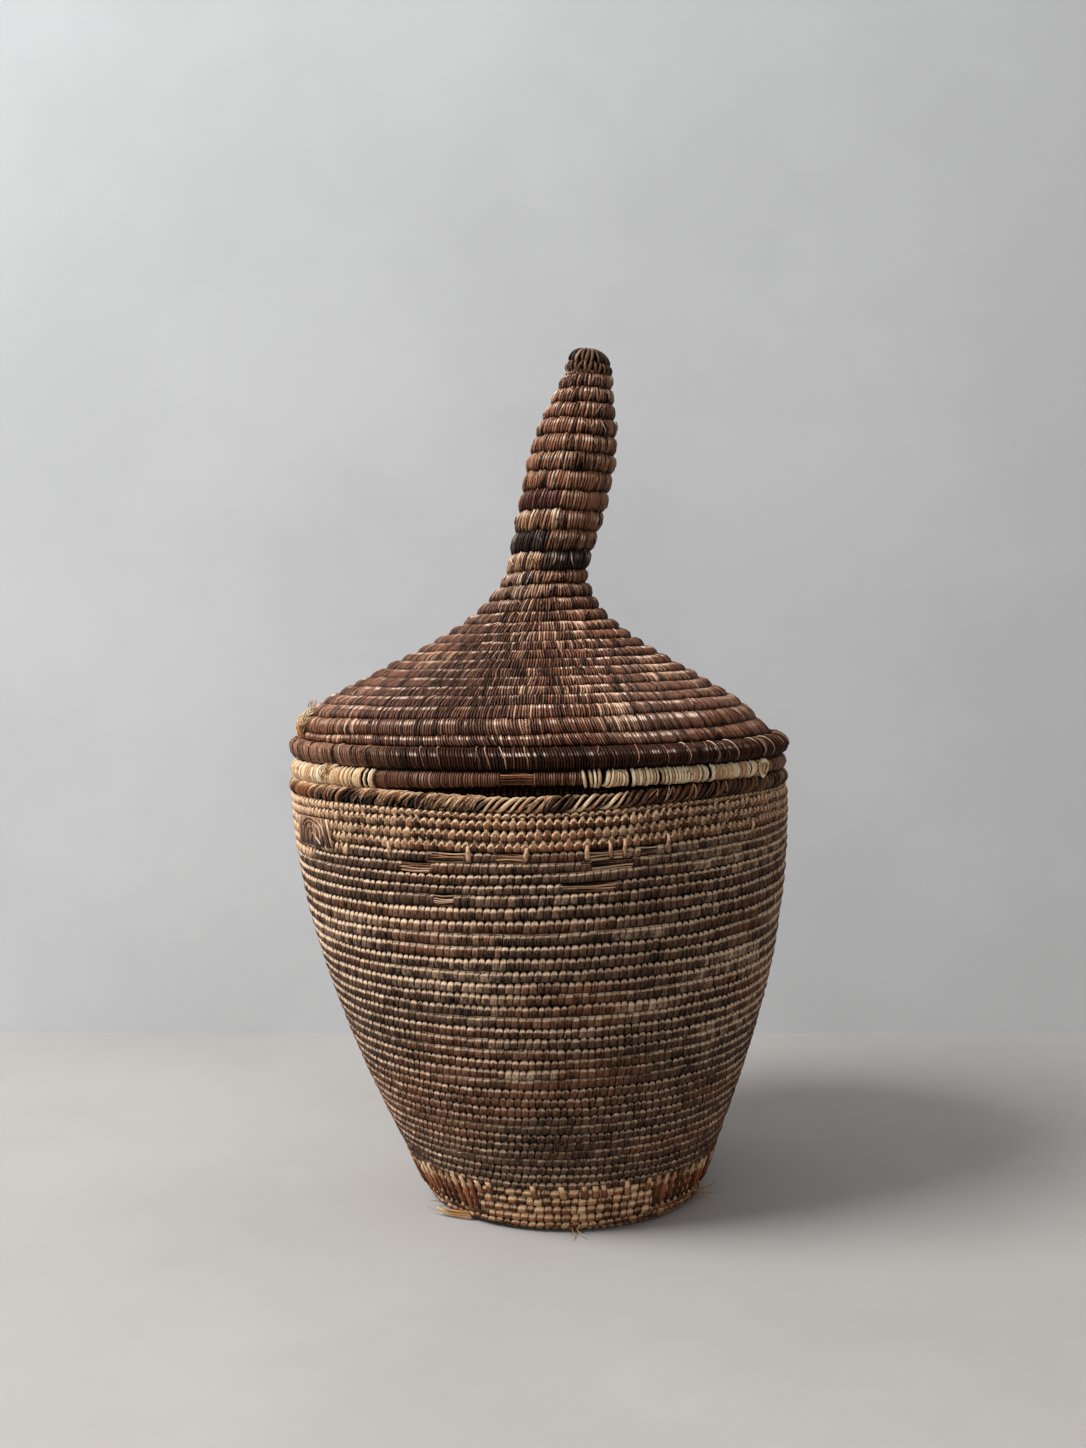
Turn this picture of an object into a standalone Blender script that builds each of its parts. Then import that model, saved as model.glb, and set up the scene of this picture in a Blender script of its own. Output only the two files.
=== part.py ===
"""A lidded coiled basket: one long fibre coil wound from the middle of the base up to the rim,
and a second one wound from the lid's brim up a cone into a curved knob.

Metres, +Z up. The origin is the centre of the flat underside. The front faces -Y.
"""
import math

import bmesh
import bpy
import numpy as np
from mathutils import Vector

# Body, outer sizes
FOOT_RADIUS = 0.0622
RIM_RADIUS = 0.1096
RIM_HEIGHT = 0.1863
WALL_FLARE_AT_FOOT = math.radians(23)
FOOT_HANDLE = 0.0585
RIM_HANDLE = 0.068
FOOT_CORNER = 0.0026

# The leaning, slightly twisted shape of the old body
BODY_LEAN = -0.0115
ROW_TILT_MIDDLE = math.radians(0.8)
ROW_TILT_SHOULDER = math.radians(1.6)
RIM_TILT = math.radians(1.1)
RIM_FRONT_RISE = math.radians(2.2)
SHOULDER_DEPTH = 0.0363
SHOULDER_HEIGHT = RIM_HEIGHT - SHOULDER_DEPTH
RIM_DIP = 0.0028
RIM_DIP_SHARPNESS = 8

# The coil of the body
COIL_THICKNESS = 0.0050
GROOVE_THICKNESS = 0.0026
BASE_PITCH = 0.0046
WALL_PITCH_LOW = 0.0040
WALL_PITCH_HIGH = 0.0054
BASE_BAND_PITCH = 0.0044
BAND_PITCH = 0.0040
BASE_BAND_ROWS = 4
BAND_ROWS = 6
RIM_ROWS = 2
KNOT_RADIUS = 0.0060
BRAID_RADIUS = 0.0027
BRAID_TWISTS = 25
BRAID_LOBE_DEPTH = 0.0004

# Lid, sizes of the coil's middle line
BRIM_INSET = 0.0040
BRIM_RADIUS = RIM_RADIUS - BRIM_INSET
BRIM_COIL_RADIUS = 0.0044
EDGE_COIL_RADIUS = 0.0037
LID_COIL_THICKNESS = 0.0072
LID_GROOVE_THICKNESS = 0.0040
LID_PITCH = 0.0073
CONE_HEIGHT = 0.056
CONE_TOP_RADIUS = 0.0260
CONE_SHOULDER = 0.0058
CONE_HOLLOW = 0.0010
NECK_RADIUS = 0.0140
NECK_HEIGHT = 0.078
KNOB_PITCH_LOW = 0.0092
KNOB_PITCH_HIGH = 0.0064
KNOB_BELLY_RADIUS = 0.0152
KNOB_BELLY_HEIGHT = 0.109
KNOB_TIP_HEIGHT = 0.1629
KNOB_TIP_RADIUS = 0.0062
KNOB_TIP_LENGTH = 0.0091
KNOB_TIP_FLUTE = 0.10
KNOB_OVERHANG = 0.0215
KNOB_LEAN = math.radians(7)
CONE_SIDEWAYS = 0.0050
LID_TILT = math.radians(0.7)
LID_SHIFT = 0.0007
COLLAR_ROWS = 3
COLLAR_PITCH = 0.0046
COLLAR_THICKNESS = 0.0044
COLLAR_GROOVE_THICKNESS = 0.0028

# Small pieces
PATCH_WIDTH = 0.0300
PATCH_HEIGHT = 0.0115
PATCH_THICKNESS = 0.0012
PATCH_ANGLE = math.radians(-59.5)
STRIP_LENGTH = 0.0155
STRIP_WIDTH = 0.0032
STRIP_THICKNESS = 0.0008
STRIP_ANGLE = math.radians(-40.5)
STRIP_SPLAY = 0.38
LOOP_RADIUS = 0.0035
LOOP_WIRE = 0.0006
LOOP_ANGLE = math.radians(57.5)

# Sections of the edge coil, from the front (0) to the right (+90) and the left (-90), with their
# fibre and the shares of the edge coil's radius at which each begins and ends
EDGE_SECTIONS = (
    ("edge_coil_cream_left", -120, -37.6, "natural_fibre", 1.12, 1.08),
    ("edge_coil_dark_left", -37.6, -8.2, "dark_fibre", 1.05, 0.80),
    ("edge_coil_bare_core", -8.2, -1.2, "bare_grass", 0.78, 0.78),
    ("edge_coil_dark_right", -1.2, 8.9, "dark_fibre", 0.80, 0.80),
    ("edge_coil_cream_right", 8.9, 60.8, "natural_fibre", 0.88, 0.85),
    ("edge_coil_brown_back", 60.8, 240, "brown_fibre", 0.85, 1.12),
)

# Fits and facets
SEAM = 0.0003
LID_SEAT = 0.0004
BODY_SEGMENTS = 20
KNOB_SEGMENTS = 14
RING_SEGMENTS = 2 * BODY_SEGMENTS
SQUARE_END = 1.0
TAPERED_END = 0.18
OUTLINE_SAMPLES = 60

# Where the turns of each coil start and end, out of sight from the front
BODY_COIL_START = math.radians(165)
LID_COIL_START = math.radians(10)
FRONT = math.radians(-90)

# Colour, roughness and metallic value of each fibre
FIBRES = {
    "dark_fibre": ((0.055, 0.030, 0.019, 1.0), 0.55),
    "wall_fibre": ((0.085, 0.056, 0.037, 1.0), 0.70),
    "band_fibre": ((0.200, 0.115, 0.062, 1.0), 0.65),
    "base_fibre": ((0.300, 0.160, 0.080, 1.0), 0.70),
    "brown_fibre": ((0.120, 0.065, 0.038, 1.0), 0.60),
    "natural_fibre": ((0.560, 0.420, 0.240, 1.0), 0.65),
    "bare_grass": ((0.330, 0.180, 0.085, 1.0), 0.75),
    "black_fibre": ((0.025, 0.020, 0.018, 1.0), 0.50),
}


def clear_scene():
    """Remove whatever the file holds."""
    for thing in list(bpy.data.objects):
        bpy.data.objects.remove(thing, do_unlink=True)


def fibre(name):
    """The material of one fibre, made once."""
    material = bpy.data.materials.get(name)
    if material is None:
        colour, roughness = FIBRES[name]
        material = bpy.data.materials.new(name)
        material.use_nodes = True
        shader = material.node_tree.nodes["Principled BSDF"]
        shader.inputs["Base Color"].default_value = colour
        shader.inputs["Roughness"].default_value = roughness
        shader.inputs["Metallic"].default_value = 0.0
    return material


def add_to(collection, thing, fibre_name):
    """Link an object to the parts and give it its fibre."""
    collection.objects.link(thing)
    thing.data.materials.append(fibre(fibre_name))
    return thing


def smooth_step(value, low, high):
    """0 below low, 1 above high, and an even curve between."""
    share = np.clip((value - low) / (high - low), 0.0, 1.0)
    return share * share * (3.0 - 2.0 * share)


def bezier(points, samples=OUTLINE_SAMPLES):
    """Points along a Bezier curve of any degree."""
    degree = len(points) - 1
    share = np.linspace(0.0, 1.0, samples)[:, None]
    curve = np.zeros((samples, 2))
    for index, point in enumerate(points):
        weight = math.comb(degree, index) * share ** index * (1.0 - share) ** (degree - index)
        curve += weight * np.array(point)
    return curve


def through(points, samples=OUTLINE_SAMPLES // 4):
    """A smooth curve through the given points."""
    nodes = np.array(points)
    padded = np.vstack([2 * nodes[0] - nodes[1], nodes, 2 * nodes[-1] - nodes[-2]])
    curve = []
    for first, start, end, last in zip(padded, padded[1:], padded[2:], padded[3:]):
        share = np.linspace(0.0, 1.0, samples, endpoint=False)[:, None]
        leaving = (end - first) / 2
        arriving = (last - start) / 2
        rise = end - start
        curve.append(start + share * leaving + share ** 2 * (3 * rise - 2 * leaving - arriving)
                     + share ** 3 * (leaving + arriving - 2 * rise))
    curve.append(nodes[-1:])
    return np.vstack(curve)


class Outline:
    """The middle line of a wound wall, as radius and height against its own length."""

    def __init__(self, curves):
        points = np.vstack(curves)
        steps = np.linalg.norm(np.diff(points, axis=0), axis=1)
        keep = np.append(True, steps > 1e-6)
        self.points = points[keep]
        steps = np.linalg.norm(np.diff(self.points, axis=0), axis=1)
        self.lengths = np.append(0.0, np.cumsum(steps))

    @property
    def length(self):
        return self.lengths[-1]

    def at(self, length):
        """Radius and height at this length."""
        return np.array([np.interp(length, self.lengths, self.points[:, axis]) for axis in (0, 1)])

    def outward(self, length):
        """Unit normal that points out of the form."""
        reach = BASE_PITCH / 2
        ahead = self.at(min(length + reach, self.length))
        behind = self.at(max(length - reach, 0.0))
        along = ahead - behind
        along /= np.linalg.norm(along)
        return np.array([along[1], -along[0]])


def body_outline():
    """From the middle of the base, round the foot's corner and up the wall."""
    half = COIL_THICKNESS / 2
    wall_foot = np.array([FOOT_RADIUS - half, half + FOOT_CORNER * 0.7])
    wall_top = np.array([RIM_RADIUS - half, RIM_HEIGHT - BRAID_RADIUS - SEAM])
    rise = np.array([math.sin(WALL_FLARE_AT_FOOT), math.cos(WALL_FLARE_AT_FOOT)])
    flat_end = np.array([wall_foot[0] - FOOT_CORNER, half])
    corner = np.array([wall_foot[0] - FOOT_CORNER * 0.3, half])
    return Outline([
        [(0.0, half), flat_end],
        bezier([flat_end, corner, wall_foot]),
        bezier([wall_foot, wall_foot + FOOT_HANDLE * rise, wall_top - (0.0, RIM_HANDLE), wall_top]),
    ]), flat_end[0]


def lid_outline():
    """From the coil above the brim, up the cone, in to the neck and out over the knob."""
    slope = np.array([-0.84, 0.54])
    start = np.array([BRIM_RADIUS, 0.0]) + slope * (BRIM_COIL_RADIUS + SEAM)
    cone_top = np.array([CONE_TOP_RADIUS, CONE_HEIGHT])

    def up_the_cone(share, bulge):
        return start + share * (cone_top - start) + (0.0, bulge)

    return Outline([through([
        start,
        up_the_cone(0.12, CONE_SHOULDER),
        up_the_cone(0.36, 0.65 * CONE_SHOULDER),
        up_the_cone(0.61, 0.15 * CONE_SHOULDER),
        up_the_cone(0.84, -CONE_HOLLOW),
        cone_top,
        (NECK_RADIUS * 1.22, NECK_HEIGHT - 0.0100),
        (NECK_RADIUS, NECK_HEIGHT),
        (KNOB_BELLY_RADIUS, KNOB_BELLY_HEIGHT),
        (KNOB_BELLY_RADIUS * 0.93, KNOB_BELLY_HEIGHT * 0.55 + KNOB_TIP_HEIGHT * 0.45),
        (KNOB_TIP_RADIUS, KNOB_TIP_HEIGHT),
    ])])


def body_place(angle, radius, height):
    """World place of a point of the body, with the old basket's lean and uneven rows."""
    x = radius * math.cos(angle)
    y = radius * math.sin(angle)
    near_rim = smooth_step(height, SHOULDER_HEIGHT, RIM_HEIGHT)
    tilt = ROW_TILT_MIDDLE * smooth_step(height, 0.1 * RIM_HEIGHT, 0.3 * RIM_HEIGHT)
    tilt += (ROW_TILT_SHOULDER - ROW_TILT_MIDDLE) * smooth_step(height, 0.5 * RIM_HEIGHT, SHOULDER_HEIGHT)
    tilt += (RIM_TILT - ROW_TILT_SHOULDER) * near_rim
    dip = RIM_DIP * near_rim * max(0.0, -math.sin(angle)) ** RIM_DIP_SHARPNESS
    rise = x * math.tan(tilt) - y * math.tan(RIM_FRONT_RISE) * near_rim - dip
    return Vector((x + BODY_LEAN * height / RIM_HEIGHT, y, height + rise))


def brim_height():
    """Height of the brim coil's middle, stacked on the rim and the edge coil."""
    return edge_height() + EDGE_COIL_RADIUS + SEAM + BRIM_COIL_RADIUS


def edge_height():
    """Height of the edge coil's middle, seated on the rim."""
    return RIM_HEIGHT + BRAID_RADIUS + LID_SEAT + EDGE_COIL_RADIUS


def spine_shift(height):
    """How far the lid's middle line has moved sideways at this height above the brim."""
    path = through([
        (0.0, 0.0),
        (0.30 * CONE_HEIGHT, -CONE_SIDEWAYS),
        (0.80 * CONE_HEIGHT, -0.4 * CONE_SIDEWAYS),
        (NECK_HEIGHT, 0.16 * KNOB_OVERHANG),
        (KNOB_BELLY_HEIGHT, 0.50 * KNOB_OVERHANG),
        (KNOB_TIP_HEIGHT, KNOB_OVERHANG),
    ])
    return np.interp(height, path[:, 0], path[:, 1])


def lid_place(angle, radius, height):
    """World place of a point of the lid, given by its height above the brim coil."""
    x = radius * math.cos(angle)
    y = radius * math.sin(angle)
    in_knob = smooth_step(height, CONE_HEIGHT, KNOB_BELLY_HEIGHT)
    tilt = LID_TILT * (1.0 - in_knob) - KNOB_LEAN * in_knob
    rise = x * math.tan(tilt) - y * math.tan(RIM_FRONT_RISE)
    centre = BODY_LEAN + LID_SHIFT + spine_shift(height)
    return Vector((x + centre, y, brim_height() + height + rise))


class Winding:
    """A coil wound along an outline: where each of its rows begins and how thick it is."""

    def __init__(self, outline, place, start_angle, row_starts, thickness, groove, segments,
                 ribbed_inside):
        self.outline = outline
        self.ribbed_inside = ribbed_inside
        self.place = place
        self.start_angle = start_angle
        self.row_starts = np.array(row_starts)
        self.thickness = thickness
        self.groove = groove
        self.segments = segments
        self.rows = len(row_starts) - 1

    def length_at(self, row):
        return np.interp(row, np.arange(self.rows + 1), self.row_starts)

    def point(self, step, part, side, low_shift, turn_shift):
        """One point of the coil: part 0 and 2 are its grooves, part 1 its crest."""
        low = max(step / self.segments, 0.0)
        high = min(step / self.segments + 1.0, self.rows)
        row = low + (high - low) * part / 2
        length = self.length_at(row) + low_shift
        radius, height = self.outline.at(length)
        outward = self.outline.outward(length)
        bulge = (self.thickness - self.groove) * min(1.0, high - low) if part == 1 else 0.0
        offset = side * (self.groove + bulge) / 2
        radius += outward[0] * offset
        height += outward[1] * offset
        angle = self.start_angle + 2 * math.pi * step / self.segments
        if turn_shift:
            angle += SEAM / max(radius, KNOT_RADIUS)
        return self.place(angle, radius, height)


def wound_coils(name, winding, first_row, last_row):
    """Build the stretch of a coil between two rows as one closed body.

    Each turn shares its grooves with the turn above and the turn below. The first turn of a whole
    winding and its last one taper, as the real bundle does, so that both edges come out level.
    """
    turn = winding.segments
    begin = round(first_row * turn)
    end = round(last_row * turn)
    if first_row == 0:
        begin -= turn - max(1, round(TAPERED_END * turn))
    if last_row == winding.rows:
        end -= max(1, round(TAPERED_END * turn))
    shares_turns = end - begin > turn
    body = bmesh.new()
    made = {}

    def vertex(step, part, side):
        if part == 2 and shares_turns and step + turn <= end:
            return vertex(step + turn, 0, side)
        key = (step, part, side)
        if key not in made:
            lowest = part == 0 and step <= begin + turn
            low_shift = SEAM if lowest and first_row > 0 else 0.0
            turn_shift = step == begin and part < 2
            made[key] = body.verts.new(winding.point(step, part, side, low_shift, turn_shift))
        return made[key]

    inner_parts = (0, 1, 2) if winding.ribbed_inside else (0, 2)
    surfaces = [(1, 0, 1), (1, 1, 2)]
    surfaces += [(-1, low, high) for low, high in zip(inner_parts, inner_parts[1:])]
    for step in range(begin, end):
        for side, low, high in surfaces:
            body.faces.new([vertex(step, low, side), vertex(step + 1, low, side),
                            vertex(step + 1, high, side), vertex(step, high, side)])
        if step < begin + turn:
            body.faces.new([vertex(step, 0, -1), vertex(step + 1, 0, -1),
                            vertex(step + 1, 0, 1), vertex(step, 0, 1)])
        if step >= end - turn:
            body.faces.new([vertex(step, 2, 1), vertex(step + 1, 2, 1),
                            vertex(step + 1, 2, -1), vertex(step, 2, -1)])
    outline = [(part, 1) for part in (0, 1, 2)] + [(part, -1) for part in reversed(inner_parts)]
    body.faces.new([vertex(begin, part, side) for part, side in outline])
    body.faces.new([vertex(end, part, side) for part, side in reversed(outline)])
    return finish_mesh(name, body)


def finish_mesh(name, body):
    """Turn a bmesh into an object with its faces pointing out."""
    bmesh.ops.recalc_face_normals(body, faces=body.faces)
    mesh = bpy.data.meshes.new(name)
    body.to_mesh(mesh)
    body.free()
    mesh.shade_smooth()
    mesh.set_sharp_from_angle(angle=math.radians(50))
    return bpy.data.objects.new(name, mesh)


def ring_tube(name, place, radius, top, tube_radius, start=0.0, end=360.0, start_size=1.0,
              end_size=1.0):
    """A coil laid once round, or a section of it, as a curve with a round bevel.

    Its top stays level where it gets slimmer, because it is sewn to the coil above.
    """
    whole = end - start >= 360.0
    steps = max(3, math.ceil(RING_SEGMENTS * (end - start) / 360.0))
    trim = math.degrees(SEAM / 2 / (radius - tube_radius))
    if whole:
        angles = np.linspace(start, end, steps, endpoint=False)
    else:
        inside = np.linspace(start + trim + SQUARE_END, end - trim - SQUARE_END, steps - 1)
        angles = np.concatenate([[start + trim], inside, [end - trim]])
    curve = bpy.data.curves.new(name, "CURVE")
    curve.dimensions = "3D"
    curve.bevel_depth = tube_radius
    curve.bevel_resolution = 2
    curve.use_fill_caps = True
    spline = curve.splines.new("POLY")
    spline.points.add(len(angles) - 1)
    for point, degrees in zip(spline.points, angles):
        size = start_size + (end_size - start_size) * (degrees - start) / (end - start)
        point.co = (*place(FRONT + math.radians(degrees), radius, top - tube_radius * size), 1.0)
        point.radius = size
    spline.use_cyclic_u = whole
    return bpy.data.objects.new(name, curve)


def braided_ring(name, place, radius, height, tube_radius):
    """A closed ring whose section has two lobes that turn as it goes round."""
    sides = 6
    steps = BRAID_TWISTS * 2
    body = bmesh.new()
    rings = []
    for step in range(steps):
        angle = 2 * math.pi * step / steps
        twist = math.pi * BRAID_TWISTS * step / steps / 2
        ring = []
        for side in range(sides):
            around = 2 * math.pi * side / sides
            reach = tube_radius - BRAID_LOBE_DEPTH * (1 + math.cos(2 * (around - twist))) / 2
            ring.append(body.verts.new(
                place(angle, radius + reach * math.cos(around), height + reach * math.sin(around))))
        rings.append(ring)
    for ring, following in zip(rings, rings[1:] + rings[:1]):
        for side in range(sides):
            beyond = (side + 1) % sides
            body.faces.new([ring[side], ring[beyond], following[beyond], following[side]])
    return finish_mesh(name, body)


def graded_rows(start, end, first_pitch, last_pitch):
    """Row starts from one length to another, as near the two pitches as whole rows allow."""
    count = max(1, round(2 * (end - start) / (first_pitch + last_pitch)))
    steps = np.append(0.0, np.cumsum(np.linspace(first_pitch, last_pitch, count)))
    return list(start + steps * (end - start) / steps[-1])


def even_rows(start, end, pitch):
    """Row starts from one length to another, all of one pitch."""
    return graded_rows(start, end, pitch, pitch)


def body_rows():
    """The body's outline, its row starts, and the row number at which each of its zones begins."""
    outline, flat_length = body_outline()
    corner_end = flat_length + FOOT_CORNER * 1.15
    base_band_end = corner_end + BASE_BAND_ROWS * BASE_BAND_PITCH
    rim_start = outline.length - RIM_ROWS * BAND_PITCH
    band_start = rim_start - BAND_ROWS * BAND_PITCH
    zones = [
        even_rows(KNOT_RADIUS + SEAM, flat_length, BASE_PITCH),
        even_rows(flat_length, corner_end, corner_end - flat_length),
        even_rows(corner_end, base_band_end, BASE_BAND_PITCH),
        graded_rows(base_band_end, band_start, WALL_PITCH_LOW, WALL_PITCH_HIGH),
        even_rows(band_start, rim_start, BAND_PITCH),
        even_rows(rim_start, outline.length, BAND_PITCH),
    ]
    rows = zones[0][:1]
    marks = [0]
    for zone in zones:
        rows += zone[1:]
        marks.append(len(rows) - 1)
    return outline, rows, marks


def build_body(parts):
    """The base, wall, band and rim of the basket."""
    outline, rows, marks = body_rows()
    flat = Winding(outline, body_place, BODY_COIL_START, rows, COIL_THICKNESS, GROOVE_THICKNESS,
                   BODY_SEGMENTS, ribbed_inside=False)
    upright = Winding(outline, body_place, BODY_COIL_START, rows, COIL_THICKNESS, GROOVE_THICKNESS,
                      BODY_SEGMENTS, ribbed_inside=True)
    disc, foot, base_band, wall, band, rim, top = marks
    third = (band - wall) / 3
    lower = wall + round(third)
    upper = wall + round(2 * third)
    stretches = (
        ("base_disc_coils", flat, disc, foot, "base_fibre"),
        ("foot_coil", upright, foot, base_band, "base_fibre"),
        ("base_band_coils", upright, base_band, wall, "base_fibre"),
        ("wall_coils_lower", upright, wall, lower, "wall_fibre"),
        ("wall_coils_middle", upright, lower, upper, "wall_fibre"),
        ("wall_coils_upper", upright, upper, band, "wall_fibre"),
        ("band_coils", upright, band, rim, "band_fibre"),
        ("rim_coils", upright, rim, top, "band_fibre"),
    )
    for name, winding, first, last, fibre_name in stretches:
        add_to(parts, wound_coils(name, winding, first, last), fibre_name)
    braid_middle = RIM_RADIUS - BRAID_RADIUS
    add_to(parts, braided_ring("rim_braid", body_place, braid_middle, RIM_HEIGHT, BRAID_RADIUS),
           "band_fibre")


def base_knot(parts):
    """The flat start of the coil in the middle of the base."""
    body = bmesh.new()
    bmesh.ops.create_cone(body, cap_ends=True, segments=BODY_SEGMENTS, radius1=KNOT_RADIUS,
                          radius2=KNOT_RADIUS * 0.8, depth=COIL_THICKNESS)
    bmesh.ops.translate(body, verts=body.verts, vec=(0.0, 0.0, COIL_THICKNESS / 2))
    add_to(parts, finish_mesh("base_start_knot", body), "base_fibre")


def build_lid(parts):
    """The collar, edge, brim, cone and knob of the lid."""
    add_to(parts, ring_tube("lid_brim_coil", lid_place, BRIM_RADIUS, BRIM_COIL_RADIUS,
                            BRIM_COIL_RADIUS), "dark_fibre")
    edge_top = -BRIM_COIL_RADIUS - SEAM
    for name, start, end, fibre_name, start_size, end_size in EDGE_SECTIONS:
        add_to(parts, ring_tube(name, lid_place, BRIM_RADIUS, edge_top, EDGE_COIL_RADIUS, start, end,
                                start_size, end_size), fibre_name)
    build_collar(parts)
    outline = lid_outline()
    neck_length = outline.lengths[np.argmin(abs(outline.points[:, 1] - NECK_HEIGHT))]
    cone = even_rows(LID_COIL_THICKNESS * 0.1, neck_length, LID_PITCH)
    knob = graded_rows(neck_length, outline.length, KNOB_PITCH_LOW, KNOB_PITCH_HIGH)
    rows = cone + knob[1:]
    cone_rows = len(cone) - 1
    top = len(rows) - 1
    wide = Winding(outline, lid_place, LID_COIL_START, rows, LID_COIL_THICKNESS,
                   LID_GROOVE_THICKNESS, BODY_SEGMENTS, ribbed_inside=False)
    slim = Winding(outline, lid_place, LID_COIL_START, rows, LID_COIL_THICKNESS,
                   LID_GROOVE_THICKNESS, KNOB_SEGMENTS, ribbed_inside=False)
    neck = cone_rows - 3
    stretches = (
        ("cone_coils_lower", wide, 0, neck // 3, "dark_fibre"),
        ("cone_coils_middle", wide, neck // 3, 2 * neck // 3, "dark_fibre"),
        ("cone_coils_upper", wide, 2 * neck // 3, neck, "dark_fibre"),
        ("neck_coils", wide, neck, cone_rows, "brown_fibre"),
        ("knob_black_coils", slim, cone_rows, cone_rows + 2, "black_fibre"),
        ("knob_coils_lower", slim, cone_rows + 2, cone_rows + 5, "brown_fibre"),
        ("knob_coils_middle", slim, cone_rows + 5, top - 3, "brown_fibre"),
        ("knob_coils_upper", slim, top - 3, top, "brown_fibre"),
    )
    for name, winding, first, last, fibre_name in stretches:
        add_to(parts, wound_coils(name, winding, first, last), fibre_name)
    knob_tip(parts, outline)


def build_collar(parts):
    """Coils sewn inside the edge coil that drop into the mouth and keep the lid in place."""
    facet_drop = BRIM_RADIUS * (1.0 - math.cos(math.pi / RING_SEGMENTS))
    largest = EDGE_COIL_RADIUS * max(max(section[4:]) for section in EDGE_SECTIONS)
    radius = BRIM_RADIUS - largest - facet_drop - SEAM - COLLAR_THICKNESS / 2
    top = edge_height() - brim_height() + COLLAR_PITCH / 2
    outline = Outline([[(radius, top - COLLAR_ROWS * COLLAR_PITCH), (radius, top)]])
    rows = even_rows(0.0, outline.length, COLLAR_PITCH)
    winding = Winding(outline, lid_place, LID_COIL_START, rows, COLLAR_THICKNESS,
                      COLLAR_GROOVE_THICKNESS, BODY_SEGMENTS, ribbed_inside=False)
    add_to(parts, wound_coils("lid_collar", winding, 0, winding.rows), "brown_fibre")


def knob_tip(parts, outline):
    """The twisted end of the fibres: a small fluted cone closed over the last coil."""
    sides = KNOB_SEGMENTS
    outward = outline.outward(outline.length)
    along = np.array([-outward[1], outward[0]])
    seat = outline.at(outline.length) + along * SEAM * 2
    inner = seat - outward * LID_GROOVE_THICKNESS / 2
    outer = seat + outward * LID_GROOVE_THICKNESS / 2
    profile = (
        inner,
        outer,
        (outer[0] * 1.06, outer[1] + KNOB_TIP_LENGTH * 0.30),
        (outer[0] * 0.80, outer[1] + KNOB_TIP_LENGTH * 0.70),
        (outer[0] * 0.52, outer[1] + KNOB_TIP_LENGTH),
    )
    body = bmesh.new()
    rings = []
    for radius, height in profile:
        ring = []
        for side in range(sides):
            angle = LID_COIL_START + 2 * math.pi * side / sides
            flute = 1.0 - KNOB_TIP_FLUTE * (side % 2)
            ring.append(body.verts.new(lid_place(angle, radius * flute, height)))
        rings.append(ring)
    for ring, following in zip(rings, rings[1:]):
        for side in range(sides):
            beyond = (side + 1) % sides
            body.faces.new([ring[side], ring[beyond], following[beyond], following[side]])
    body.faces.new(rings[-1])
    body.faces.new(list(reversed(rings[0])))
    add_to(parts, finish_mesh("knob_tip", body), "brown_fibre")


def curved_plate(name, place_point, width_steps, height_steps, thickness):
    """A thin plate laid over a curved surface, as a grid with Solidify."""
    body = bmesh.new()
    bmesh.ops.create_grid(body, x_segments=width_steps, y_segments=height_steps, size=0.5)
    for corner in body.verts:
        corner.co = place_point(corner.co.x, corner.co.y)
    mesh = bpy.data.meshes.new(name)
    body.to_mesh(mesh)
    body.free()
    plate = bpy.data.objects.new(name, mesh)
    solid = plate.modifiers.new("thickness", "SOLIDIFY")
    solid.thickness = thickness
    solid.offset = 1.0
    return plate


def small_pieces(parts):
    """The sewn patch on the band, the loose strip at the foot and the coil's tail at the edge."""
    outline, rows, marks = body_rows()
    patch_middle = outline.length - (RIM_ROWS + 1.0) * BAND_PITCH

    def on_wall(across, up):
        length = patch_middle + up * PATCH_HEIGHT
        radius, height = outline.at(length)
        radius += COIL_THICKNESS / 2 + SEAM
        return body_place(FRONT + PATCH_ANGLE + across * PATCH_WIDTH / radius, radius, height)

    add_to(parts, curved_plate("band_patch", on_wall, 6, 4, PATCH_THICKNESS), "band_fibre")

    foot_middle = (rows[marks[1]] + rows[marks[2]]) / 2
    foot_crest = outline.at(foot_middle) + outline.outward(foot_middle) * COIL_THICKNESS / 2

    def off_the_foot(along, up):
        reach = (along + 0.5) * STRIP_LENGTH
        rise = (up + 0.5) * STRIP_WIDTH
        radius = foot_crest[0] + STRIP_THICKNESS + 2 * SEAM
        radius += reach * STRIP_SPLAY + rise * math.tan(WALL_FLARE_AT_FOOT)
        angle = FRONT + STRIP_ANGLE - reach / FOOT_RADIUS
        return body_place(angle, radius, foot_crest[1] + rise)

    add_to(parts, curved_plate("base_loose_strip", off_the_foot, 8, 1, STRIP_THICKNESS), "base_fibre")

    bpy.ops.mesh.primitive_torus_add(
        major_segments=12, minor_segments=6, major_radius=LOOP_RADIUS, minor_radius=LOOP_WIRE)
    loop = bpy.context.active_object
    loop.name = "edge_tail_loop"
    for collection in list(loop.users_collection):
        collection.objects.unlink(loop)
    end_sizes = {section[0]: section[5] for section in EDGE_SECTIONS}
    coil_radius = EDGE_COIL_RADIUS * end_sizes["edge_coil_cream_right"]
    reach = BRIM_RADIUS + coil_radius + LOOP_WIRE + SEAM
    loop.location = lid_place(FRONT + LOOP_ANGLE, reach, -BRIM_COIL_RADIUS - SEAM - coil_radius)
    loop.rotation_euler = (math.radians(90), 0.0, LOOP_ANGLE)
    add_to(parts, loop, "natural_fibre")


def main():
    clear_scene()
    parts = bpy.data.collections.new("woven_basket")
    bpy.context.scene.collection.children.link(parts)
    base_knot(parts)
    build_body(parts)
    build_lid(parts)
    small_pieces(parts)


main()
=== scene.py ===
"""Looks of the lidded coiled basket: every coil is a grass core dressed in its own stitches.

Metres, +Z up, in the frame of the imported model. The front faces -Y. Places on a coil are given by
its turn, which counts on from the coil's start, and by the share of the row, 0 at its lower groove
and 1 at its upper one.
"""
import math

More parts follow.
